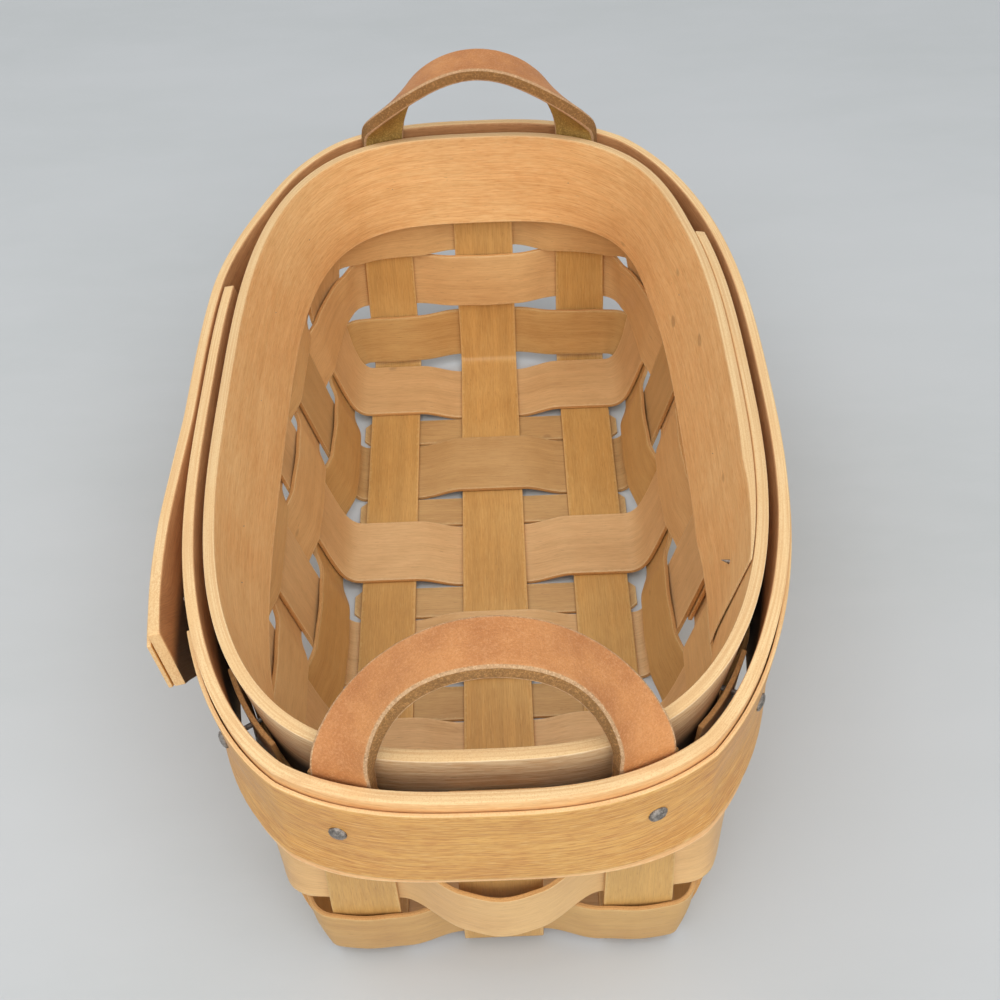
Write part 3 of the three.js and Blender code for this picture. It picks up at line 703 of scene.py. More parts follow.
class Wall:
    """The woven wall's middle surface.

    A place round the wall is a running number: an upright's own number at its centre line, a
    quarter more or less at its edges, and straight between across the gaps.
    """

    HALF = 0.25
    PROBE = 0.5

    def __init__(self, sizes: BasketSizes) -> None:
        """Lists the uprights counterclockwise from the near end's right.

        Args:
            sizes: the basket's sizes.
        """
        self.sizes = sizes
        places = [sizes.cross_place(index) for index in range(sizes.cross_count)]
        crosses = [("cross", index, place, sizes.cross_width) for index, place in enumerate(places)]
        longs = [("long", index, *long) for index, long in enumerate(sizes.longs)]
        rounds = ((1, crosses[::-1]), (1, longs), (-1, crosses), (-1, longs[::-1]))
        self.uprights = [
            Upright(kind, side, index, place, width)
            for side, stakes in rounds for kind, index, place, width in stakes
        ]
        self.count = len(self.uprights)
        self.lines: dict[float, WallLine] = {}
        self.knots: dict[float, tuple[np.ndarray, np.ndarray]] = {}
        low_end = sizes.row_span(1)[0] - sizes.low_row_gap / 2
        low = [between(sizes.row_start, low_end, share) for share in (0.0, 0.25, 0.5, 1.0)]
        upper = [sizes.row_span(row)[0] - sizes.row_gap / 2 for row in range(2, sizes.row_count)]
        self.levels = [*low, *upper, sizes.rows_top, sizes.rim_height]

    def number(self, kind: str, side: int, index: int) -> int:
        """Finds an upright's number."""
        return [(u.kind, u.side, u.index) for u in self.uprights].index((kind, side, index))

    def line(self, height: float) -> WallLine:
        """Gives the wall's line at a height, made once.

        Args:
            height: the height in millimetres.

        Returns:
            The line. The lengths along it to every upright's edges are kept beside it.
        """
        if height not in self.lines:
            made = WallLine(self.sizes, height)
            self.lines[height] = made
            centres = []
            for u in self.uprights:
                if u.kind == "cross":
                    centre = made.length_to(u.side * made.width_at(u.place, u.side), u.place)
                else:
                    centre = made.length_to(u.place, u.side * made.length_at(u.place))
                while centres and centre < centres[-1]:
                    centre += made.total
                centres.append(centre)
            places, lengths = [], []
            for i, (u, centre) in enumerate(zip(self.uprights, centres)):
                places += [i - self.HALF, i + self.HALF]
                lengths += [centre - u.width / 2, centre + u.width / 2]
            places.append(self.count - self.HALF)
            lengths.append(lengths[0] + made.total)
            self.knots[height] = (np.array(places), np.array(lengths))
        return self.lines[height]

    def length(self, places: np.ndarray, height: float) -> np.ndarray:
        """Measures round the wall's line.

        Args:
            places: running numbers round the wall.
            height: the line's height.

        Returns:
            The length from the near end to each place.
        """
        line = self.line(height)
        turns = np.floor((places + self.HALF) / self.count)
        knots, lengths = self.knots[height]
        return np.interp(places - turns * self.count, knots, lengths) + turns * line.total

    def position(self, places: np.ndarray, height: float, nudge: float = 0.0) -> np.ndarray:
        """Finds points of the middle surface at one height."""
        flat = self.line(height).at(self.length(places, height) + nudge)
        return np.concatenate([flat, np.full((*flat.shape[:-1], 1), height)], axis=-1)

    def frames(self, places: np.ndarray, heights: np.ndarray) -> tuple[np.ndarray, np.ndarray]:
        """Finds points and outward normals on the wall.

        Args:
            places: running numbers round the wall.
            heights: heights in millimetres, the same for every place or a row of them for each.

        Returns:
            Points and normals, each for every place and every height.
        """
        level_points, level_normals = [], []
        for level in self.levels:
            ahead, behind = (self.position(places, level, k * self.PROBE) for k in (1, -1))
            above, below = (self.position(places, level + k * self.PROBE) for k in (1, -1))
            level_points.append(self.position(places, level))
            level_normals.append(unit(np.cross(ahead - behind, above - below)))
        all_points, all_normals = np.array(level_points), np.array(level_normals)
        levels = np.array(self.levels)
        wanted = np.broadcast_to(heights, (len(places), np.shape(heights)[-1]))
        step = np.clip(np.searchsorted(levels, wanted, side="left") - 1, 0, len(levels) - 2)
        share = ((wanted - levels[step]) / (levels[step + 1] - levels[step]))[..., None]
        row = np.arange(len(places))[:, None]
        points = between(all_points[step, row], all_points[step + 1, row], share)
        normals = between(all_normals[step, row], all_normals[step + 1, row], share)
        return points, normals

    def upright_place(self, number: int, shift: np.ndarray | float) -> np.ndarray | float:
        """Turns a shift from an upright's centre line into a place round the wall."""
        return number + 2 * self.HALF * shift / self.uprights[number % self.count].width

    def leg_place(self, side: int, hand: int) -> float:
        """Finds the place of a handle's leg.

        Args:
            side: 1 for the far handle, -1 for the near one.
            hand: 1 for its right leg, -1 for its left one.

        Returns:
            The place round the wall.
        """
        number = self.number("long", side, 0 if hand > 0 else 2)
        shift = side * hand * (self.sizes.side_place - self.sizes.handle_place)
        return float(self.upright_place(number, shift))

    def run(self, first: float, last: float, fine: int = 9) -> np.ndarray:
        """Lists places from one to another, evenly spaced."""
        return np.linspace(first, last, max(3, int(abs(last - first) * 2 * fine)) + 1)


def spread(x: object, y: object, z: object) -> np.ndarray:
    """Makes points of coordinates that are numbers or arrays of fitting shapes."""
    return np.stack(np.broadcast_arrays(x, y, z), axis=-1)


def lines_across(low: float, high: float, inset: float, count: int) -> np.ndarray:
    """Spaces the lines of a strip, with a pair close to each edge."""
    return np.concatenate([[low], np.linspace(low + inset, high - inset, count), [high]])


@dataclass
class Sheet:
    """A strip of sheet stock, laid out flat as a grid and then bent to its place.

    The piece's name is its kind and its node.
    """

    kind: str
    node: str
    points: np.ndarray
    outward: np.ndarray
    thickness: float
    slot: str
    materials: list[Material]
    tone: float = 0.5
    seed: int = 0
    bevel: float = 0.28
    bevel_steps: int = 2
    bevel_angle: float = 50.0
    depth_share: np.ndarray | None = None
    raggedness: float = 0.0

    def build(self) -> None:
        """Models the strip: a grid, bent in code, then given its thickness and eased edges."""
        columns, rows = self.points.shape[:2]
        bpy.ops.object.select_all(action="DESELECT")
        bpy.ops.mesh.primitive_grid_add(
            x_subdivisions=columns - 1, y_subdivisions=rows - 1, size=2.0
        )
        piece = bpy.context.active_object
        piece.name = piece.data.name = f"{self.kind}_{self.node}"
        mesh = piece.data
        count = len(mesh.vertices)
        flat = np.empty(count * 3)
        mesh.vertices.foreach_get("co", flat)
        shares = (flat.reshape(-1, 3)[:, :2] + 1) / 2
        i, j = np.rint(shares * (columns - 1, rows - 1)).astype(int).T
        mesh.vertices.foreach_set("co", (self.points[i, j] * MM).ravel())
        self._measure(mesh, i, j)
        mesh.update()
        self._face_outwards(piece)
        if self.depth_share is not None:
            group = piece.vertex_groups.new(name="depth")
            for k in range(count):
                group.add([k], float(self.depth_share[i[k]]), "REPLACE")
        self._thicken(piece, count)
        if self.raggedness > 0:
            roughen(piece, self.raggedness, self.seed)
        hand_over(piece, self.node)

    def _measure(self, mesh: bpy.types.Mesh, i: np.ndarray, j: np.ndarray) -> None:
        """Gives the sheet the attributes that its finishes read.

        Args:
            mesh: the bent sheet.
            i: each point's column.
            j: each point's row.
        """
        columns, rows = self.points.shape[:2]
        middle = self.points[:, rows // 2]
        steps = np.linalg.norm(np.diff(middle, axis=0), axis=1)
        along = np.concatenate([[0.0], np.cumsum(steps)])
        side = np.linalg.norm(np.diff(self.points, axis=1), axis=2)
        across = np.concatenate([np.zeros((columns, 1)), np.cumsum(side, axis=1)], axis=1)
        ends = np.minimum(along, along[-1] - along)[:, None]
        edge = np.minimum(np.minimum(across, across[:, -1:] - across), ends)
        start = np.random.default_rng(self.seed).uniform(0.0, GRAIN_REACH, 3)
        grain = spread(along[i] * MM + start[0], across[i, j] * MM + start[1], start[2])
        for name, kind, key, values in (
            ("grain", "FLOAT_VECTOR", "vector", grain.ravel()),
            ("edge", "FLOAT", "value", edge[i, j]),
            ("tone", "FLOAT", "value", np.full(len(i), self.tone)),
        ):
            mesh.attributes.new(name, kind, "POINT").data.foreach_set(key, values)

    def _face_outwards(self, piece: bpy.types.Object) -> None:
        """Turns the sheet over if its front looks the wrong way.

        Args:
            piece: the bent sheet.
        """
        polygons = piece.data.polygons
        polygon = polygons[len(polygons) // 2]
        centre = np.array(polygon.center) / MM
        near = np.argmin(np.linalg.norm(self.points.reshape(-1, 3) - centre, axis=1))
        wanted = np.broadcast_to(self.outward, self.points.shape).reshape(-1, 3)[near]
        if float(np.dot(np.array(polygon.normal), wanted)) < 0:
            bpy.ops.object.mode_set(mode="EDIT")
            bpy.ops.mesh.select_all(action="SELECT")
            bpy.ops.mesh.flip_normals()
            bpy.ops.object.mode_set(mode="OBJECT")

    def _thicken(self, piece: bpy.types.Object, count: int) -> None:
        """Gives the sheet its thickness and eases its edges.

        Args:
            piece: the bent sheet.
            count: its number of points, which come first after thickening.
        """
        for material in self.materials:
            piece.data.materials.append(material)
        last = len(self.materials) - 1
        solid = piece.modifiers.new("stock", "SOLIDIFY")
        solid.thickness = self.thickness * MM
        solid.offset = 0.0
        solid.material_offset_rim = Face.EDGE.value
        solid.material_offset = Face.BACK.value if last >= Face.BACK.value else Face.FRONT.value
        if self.depth_share is not None:
            solid.vertex_group = "depth"
        bpy.ops.object.modifier_apply(modifier="stock")
        grain = piece.data.attributes["grain"].data
        values = np.empty(len(grain) * 3)
        grain.foreach_get("vector", values)
        values.reshape(-1, 3)[count:, 2] += self.thickness * MM
        grain.foreach_set("vector", values)
        if self.depth_share is not None:
            piece.vertex_groups.clear()
        ease = piece.modifiers.new("eased_edges", "BEVEL")
        ease.width = self.bevel * MM
        ease.segments = self.bevel_steps
        ease.limit_method = "ANGLE"
        ease.angle_limit = math.radians(self.bevel_angle)
        ease.use_clamp_overlap = True
        if last >= Face.CORNER.value:
            ease.material = Face.CORNER.value
        bpy.ops.object.modifier_apply(modifier="eased_edges")


def roughen(piece: bpy.types.Object, reach: float, seed: int, scale: float = 900.0) -> None:
    """Moves a piece's points a little along their normals by a fixed noise.

    Args:
        piece: the piece.
        reach: the most that a point moves, in millimetres.
        seed: where the noise starts.
        scale: features for each metre. A second, finer noise has more.
    """
    shift = Vector([seed * step for step in ROUGH_SHIFT])
    moves = []
    for vertex in piece.data.vertices:
        coarse = noise.noise(vertex.co * scale + shift)
        fine = noise.noise(vertex.co * scale * ROUGH_OCTAVE + shift)
        moves.append(vertex.co + vertex.normal * ((coarse + 0.5 * fine) * reach * MM))
    for vertex, place in zip(piece.data.vertices, moves):
        vertex.co = place
    piece.data.update()


def hand_over(piece: bpy.types.Object, node: str) -> None:
    """Shades a finished piece and ties it to the frame.

    Args:
        piece: the piece.
        node: the frame's node that it stands for.
    """
    bpy.ops.object.select_all(action="DESELECT")
    piece.select_set(True)
    bpy.context.view_layer.objects.active = piece
    bpy.ops.object.shade_smooth_by_angle(angle=math.radians(SMOOTH_ANGLE))
    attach(piece, BODY)
    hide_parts(node)
    logger.info("%s: %d faces, for %s", piece.name, len(piece.data.polygons), node)


@dataclass
class WovenBody:
    """The long stakes, cross stakes, fillers and weavers.

    A lap is the upright over which a weaver's ends meet, by kind, side and index. A wave is a
    weaver's unevenness: its reach, its turns for each step round the wall and its start for each
    row. Waves are calmer near the floor. A tone of a half leaves a finish as it is.
    """

    sizes: BasketSizes
    wall: Wall
    stake_finish: list[Material]
    cross_finish: list[Material]
    filler_finish: list[Material]
    weaver_finish: list[Material]
    across_steps: int = 8
    edge_inset: float = 0.8
    wall_steps: int = 26
    bend_steps: int = 8
    base_steps: int = 70
    resting_steps: int = 8
    crossing_steps: int = 13
    filler_steps: int = 40
    snip_steps: int = 4
    filler_lines: int = 7
    sag: float = 0.12
    bulge: float = 0.45
    top_bulge: float = 0.12
    laps: tuple[tuple[str, int, int], ...] = (("cross", -1, 2), ("cross", 1, 3), ("long", 1, 1))
    weaver_fineness: int = 10
    waves: tuple[Triple, ...] = ((0.22, 2.1, 1.3), (0.15, 5.3, 1.0))
    calm_height: float = 4.0
    calm_fade: float = 8.0
    calm_share: float = 0.3
    cross_tones: tuple[float, ...] = (0.50, 0.02, 0.60, 0.58, 0.66, 0.50)
    long_tones: tuple[float, ...] = (0.46, 0.52, 0.50)
    filler_tones: tuple[float, ...] = (0.40, 0.46, 0.52)
    row_tones: tuple[float, ...] = (0.36, 0.98, 0.76)
    long_seed: int = 11
    cross_seed: int = 31
    filler_seed: int = 51
    weaver_seed: int = 71

    def build(self) -> None:
        """Builds every splint of the body."""
        for index in range(len(self.sizes.longs)):
            self.long_stake(index)
        for index in range(self.sizes.cross_count):
            self.cross_stake(index)
        for index in range(self.sizes.cross_count - 1):
            self.filler(index)
        for row in range(self.sizes.row_count):
            self.weaver(row)

    def _splint(
        self, node: str, points: np.ndarray, outward: np.ndarray, slot: str,
        finish: list[Material], tone: float, seed: int,
    ) -> None:
        """Cuts one splint and bends it.

        Args:
            node: the node that it stands for.
            points: its middle surface, along and across it.
            outward: the way that its front looks.
            slot: the record's material slot, passed on but not used.
            finish: its materials.
            tone: how light it is, about a half on average.
            seed: where its grain starts.
        """
        Sheet(
            "splint", node, points, outward, self.sizes.splint, slot, finish, tone, seed
        ).build()

    def _lines(self, width: float) -> np.ndarray:
        """Places across a splint."""
        return lines_across(-width / 2, width / 2, self.edge_inset, self.across_steps)

    def _end(self, number: int, shifts: np.ndarray, level: float, base: np.ndarray) -> np.ndarray:
        """Shapes one end of a stake, from its top down to the flat of the base.

        Args:
            number: the upright's number.
            shifts: shifts of the splint's lines from the upright's centre line.
            level: height of the splint's middle on the base there.
            base: where each line reaches the base's flat.

        Returns:
            Points along the splint and across it.
        """
        s = self.sizes
        places = self.wall.upright_place(number, shifts)
        start = self.wall.levels[1] if level == s.levels[2] else s.row_start
        heights = np.linspace(s.rim_height - s.stake_drop, start, self.wall_steps)
        points, _ = self.wall.frames(places, heights)
        rows = points.transpose(1, 0, 2)
        corner = self.wall.position(places, level)
        shares = np.linspace(1, 0, self.bend_steps + 1)[1:, None, None]
        first = between(base[None], corner[None], shares)
        last = between(corner[None], rows[-1][None], shares)
        return np.concatenate([rows, between(first, last, shares)], axis=0)

    def long_stake(self, index: int) -> None:
        """Builds one of the three stakes that run the basket's length.

        Args:
            index: its number, from the right.
        """
        s = self.sizes
        place, width = s.longs[index]
        across = self._lines(width)
        level = s.levels[1]
        reach = s.cross_reach + s.cross_width / 2 + s.gap
        ends = []
        for side in (1, -1):
            number = self.wall.number("long", side, index)
            flat = spread(place + across, side * reach, level)
            ends.append(self._end(number, -side * across, level, flat))
        run = np.linspace(0, 1, self.base_steps)[1:-1, None, None]
        flat = between(ends[0][-1][None], ends[1][-1][None], run)
        # A flat run rises and falls a hair between its crossings
        lift = np.cos(flat[..., 1] * math.pi / s.cross_pitch) * self.sag
        flat = flat + spread(0.0, 0.0, lift)
        points = np.concatenate([ends[0], flat, ends[1][::-1]], axis=0)
        node = ("long_stake_right", "long_stake_centre", "long_stake_left")[index]
        self._splint(
            node, points, DOWN, "stake_splint", self.stake_finish, self.long_tones[index],
            self.long_seed + index,
        )

    def cross_stake(self, index: int) -> None:
        """Builds one of the stakes that run across, over and under the long ones.

        Args:
            index: its number, from the far end.
        """
        s = self.sizes
        place = s.cross_place(index)
        low, _, high = s.levels
        outer, inner = (high, low) if index % 2 == 0 else (low, high)
        across = self._lines(s.cross_width)
        start = s.centre_width / 2 + s.gap
        stop = s.side_place - s.side_width / 2 - s.gap
        reach = s.side_place + s.side_width / 2 + s.gap
        stretches = (
            (reach, stop, self.resting_steps), (stop, start, self.crossing_steps),
            (start, 0.0, self.resting_steps),
        )
        runs = np.concatenate([np.linspace(*stretch)[1:] for stretch in stretches])[:, None]
        height = between(outer, inner, smooth((stop - runs) / (stop - start)))
        halves = []
        for side in (1, -1):
            number = self.wall.number("cross", side, index)
            flat = spread(side * reach, place + across, outer)
            end = self._end(number, side * across, outer, flat)
            halves.append(np.concatenate([end, spread(side * runs, place + across, height)]))
        points = np.concatenate([halves[0], halves[1][::-1][1:]], axis=0)
        self._splint(
            f"cross_stake_{index + 1}", points, DOWN, "stake_splint", self.cross_finish,
            self.cross_tones[index], self.cross_seed + index,
        )

    def filler(self, index: int) -> None:
        """Builds a short splint that closes the base between two cross stakes, corners snipped.

        Args:
            index: its number, from the far end.
        """
        s = self.sizes
        place = (s.cross_place(index) + s.cross_place(index + 1)) / 2
        reach = s.side_place + s.side_width / 2 + s.filler_overhang
        width = s.cross_pitch - s.cross_width - 2 * s.filler_gap
        snip = width * s.filler_snip_share
        full = reach - snip
        x = np.concatenate([
            np.linspace(-reach, -full, self.snip_steps),
            np.linspace(-full, full, self.filler_steps)[1:-1],
            np.linspace(full, reach, self.snip_steps),
        ])[:, None]
        cut = np.clip((np.abs(x) - full) / snip, 0, 1) * snip
        y = place + (width / 2 - cut) * np.linspace(-1, 1, self.filler_lines)
        self._splint(
            f"base_filler_{index + 1}", spread(x, y, s.levels[0]), DOWN, "filler_splint",
            self.filler_finish, self.filler_tones[index % len(self.filler_tones)],
            self.filler_seed + index,
        )

    def weaver(self, row: int) -> None:
        """Builds one weaver, which runs outside one upright and inside the next.

        Args:
            row: its number, 0 being the lowest.
        """
        s, wall = self.sizes, self.wall
        half, lap = wall.HALF, wall.number(*self.laps[row])
        places = wall.run(lap - half, lap + wall.count + half, self.weaver_fineness)
        foot, top = s.row_span(row)
        belly = np.zeros_like(places)
        if row == 1:
            away = np.abs(np.mod(places + 1, wall.count) - 1 - wall.number("long", -1, 1))
            belly = smooth(1 - away / s.belly_reach)
        heights = (foot + top) / 2 + self._lines(top - foot) - s.belly_drop * belly[:, None]
        points, normals = wall.frames(places, heights)
        number = np.rint(places)
        near = places - number
        sign = np.where((number + row) % 2 == 1, 1.0, -1.0)
        bulge = self.top_bulge if row == s.row_count - 1 else self.bulge
        swell = bulge * np.cos(np.clip(near / half, -1, 1) * math.pi / 2) ** 2
        lift = s.layer + s.gap
        lapped = np.where(number == lap + wall.count, lift, 0.0)
        step = np.floor(places + half)
        share = np.clip((places - step - half) / (2 * half), 0, 1)
        here = np.where((step + row) % 2 == 1, s.layer, -s.layer)
        over = np.where(step + 1 == lap + wall.count, lift, 0.0)
        crossing = between(here, -here + over, (1 - np.cos(math.pi * share)) / 2)
        on_stake = sign * (s.layer + swell) + lapped
        offset = np.where(np.abs(near) <= half + TOLERANCE, on_stake, crossing)
        points = points + normals * (offset + s.belly_bulge * belly)[:, None, None]
        waves = (reach * np.sin(places * turns + row * start) for reach, turns, start in self.waves)
        free = np.clip((foot - self.calm_height) / self.calm_fade, self.calm_share, 1.0)
        points[..., 2] += sum(waves)[:, None] * free
        self._splint(
            f"weaver_row_{row + 1}", points, normals, "weaver_splint", self.weaver_finish,
            self.row_tones[row], self.weaver_seed + row,
        )


@dataclass
class RimBands:
    """The inner band, the outer band with its sprung tail, and the trim strip.

    Starts, ends and laps are places round the wall. The inner band runs the other way.
    """

    sizes: BasketSizes
    wall: Wall
    band_finish: list[Material]
    raw_painted_lit_side: Material
    slot_side: Material
    trim_finish: list[Material]
    across_steps: int = 8
    edge_inset: float = 0.9
    band_round: float = 0.35
    trim_round: float = 0.22
    outer_start: float = 10.25
    outer_end: float = 31.5
    outer_lap: tuple[float, float] = (27.083, 28.25)
    tail_start: float = 29.75
    tail_cut_steps: float = 2.0
    inner_start: float = 4.08
    inner_end: float = -17.25
    inner_lap: tuple[float, float] = (-12.75, -13.917)
    skive_start: float = -16.42
    leather_face: float = field(init=False)

    def __post_init__(self) -> None:
        """Works out how far out the handle legs push the outer band."""
        s = self.sizes
        number = self.wall.number("long", -1, 0)
        shift = -(s.side_place - s.handle_place)
        halves = np.array([-1, 0, 1]) * s.strap_width / 2
        places = self.wall.upright_place(number, shift + halves)
        bow = 0.0
        for height in (s.rows_top, s.rim_height):
            points, normals = self.wall.frames(places, np.array([height]))
            outs = [float(np.dot(points[1, 0] - points[k, 0], normals[1, 0])) for k in (0, 2)]
            bow = max(bow, *outs)
        self.leather_face = s.stake_face + s.leather + s.gap + bow

    def stand(self, heights: np.ndarray, foot: float) -> np.ndarray:
        """How far a band's face stands off the wall's middle.

        Args:
            heights: heights on the band.
            foot: height of the band's lower edge.

        Returns:
            The distance at each height.
        """
        s = self.sizes
        lean = (s.weaver_face - s.stake_face) / (s.rim_height - s.rows_top)
        return s.stake_face + lean * (s.rim_height - np.maximum(heights, foot))

    @staticmethod
    def steps(places: object) -> np.ndarray:
        """Turns places into even steps, as the band's bends are spread.

        Args:
            places: running numbers round the wall.

        Returns:
            Steps, of which an upright has three and the gap beside it two.
        """
        half = Wall.HALF
        bends = (-half, -half / 3, half / 3, half, 2 * half, 3 * half)
        number = np.floor(np.add(places, half))
        return (len(bends) - 1) * number + np.interp(places - number, bends, range(len(bends)))

    def lap_share(self, places: np.ndarray, lap: tuple[float, float]) -> np.ndarray:
        """How far a band has stepped over its own start."""
        first, last = self.steps(lap)
        return smooth((self.steps(places) - first) / (last - first))

    def outer_face(self, places: np.ndarray, heights: np.ndarray) -> np.ndarray:
        """Finds how far out the outer band's inner face lies.

        Args:
            places: running numbers round the wall.
            heights: heights, the same for every place or a row of them for each.

        Returns:
            The distance from the wall's middle, for each place and height.
        """
        s = self.sizes
        rim, line = self.wall.position(places, s.rim_height), self.wall.line(s.rim_height)
        edge = s.side_place + s.side_width / 2
        full = np.where(rim[:, 0] > 0, line.length_at(edge), line.length_at(-edge))
        start = s.cross_place(1)
        share = np.clip((np.abs(rim[:, 1]) - start) / (full - start), 0, 1)[:, None]
        foot = s.rim_height - s.outer_band_height
        rise = (np.atleast_2d(heights) - foot) / s.outer_band_height
        share = between(share**s.slot_foot_ease, share**s.slot_ease, rise)
        side_face = self.stand(np.atleast_2d(heights), foot) + s.slot_slack
        face = between(side_face, self.leather_face, share)
        lap = self.lap_share(places, self.outer_lap) * (s.band + s.lap_gap)
        tail, end = self.steps((self.tail_start, self.outer_end))
        spring = np.maximum(0.0, (self.steps(places) - tail) / (end - tail)) ** s.tail_ease
        return face + (lap + s.tail_flare * spring)[:, None]

    def _heights(self, foot: float, top: float) -> np.ndarray:
        """Heights across a band."""
        return lines_across(foot, top, self.edge_inset, self.across_steps)

    def _tail_heights(self, places: np.ndarray, foot: float, top: float) -> np.ndarray:
        """Spaces the outer band's or the trim's lines, whose tail is cut away towards its tip.

        Args:
            places: running numbers round the wall.
            foot: height of the lower edge, before the tail.
            top: height of the upper edge.

        Returns:
            Heights across the strip, for each place.
        """
        s = self.sizes
        end = self.steps(self.outer_end)
        left = (self.steps(places) - end) / self.tail_cut_steps + 1
        cut = between(foot, s.rim_height - s.tail_tip_height, np.clip(left, 0, 1))
        plain = (self._heights(foot, top) - foot) / (top - foot)
        return cut[:, None] + (top - cut)[:, None] * plain[None]

    def outer_band(self) -> None:
        """Builds the outer band: one full turn, a lap, and an end that has sprung loose."""
        s = self.sizes
        places = self.wall.run(self.outer_start, self.outer_end)
        heights = self._tail_heights(places, s.rim_height - s.outer_band_height, s.rim_height)
        points, normals = self.wall.frames(places, heights)
        middle = self.outer_face(places, heights) + s.band / 2
        Sheet(
            "bent", "outer_band", points + normals * middle[..., None], normals, s.band,
            "band_wood", [*self.band_finish, self.slot_side], tone=0.62, seed=91,
            bevel=self.band_round, bevel_steps=3,
        ).build()

    def trim_strip(self) -> None:
        """Builds the thin strip that runs once round the outer band."""
        s = self.sizes
        places = self.wall.run(self.outer_end - self.wall.count, self.outer_end)
        top = s.rim_height - s.trim_drop
        heights = self._tail_heights(places, top - s.trim_height, top)
        points, normals = self.wall.frames(places, heights)
        middle = self.outer_face(places, heights) + s.band + s.gap + s.trim / 2
        Sheet(
            "bent", "trim_strip", points + normals * middle[..., None], normals, s.trim,
            "trim_wood", self.trim_finish, tone=0.58, seed=92, bevel=self.trim_round,
        ).build()

    def inner_band(self) -> None:
        """Builds the inner band, whose last ply is skived away at its end."""
        s = self.sizes
        places = self.wall.run(self.inner_start, self.inner_end)
        foot = s.rim_height - s.inner_band_height
        heights = self._heights(foot, s.rim_height)
        points, normals = self.wall.frames(places, heights)
        lap = self.lap_share(places, self.inner_lap) * (s.band + s.gap)
        left = (places - self.inner_end) / (self.skive_start - self.inner_end)
        share = between(s.skive / s.band, 1.0, np.clip(left, 0.0, 1.0))
        middle = self.stand(heights, foot) + (lap + share * s.band / 2)[:, None]
        face, edge = self.band_finish
        Sheet(
            "bent", "inner_band", points - normals * middle[..., None], normals, s.band,
            "band_wood", [self.raw_painted_lit_side, edge, face], seed=93, bevel=self.band_round,
            bevel_steps=3, depth_share=share,
        ).build()

    def build(self) -> None:
        """Builds the three bands."""
        self.inner_band()
        self.outer_band()
        self.trim_strip()


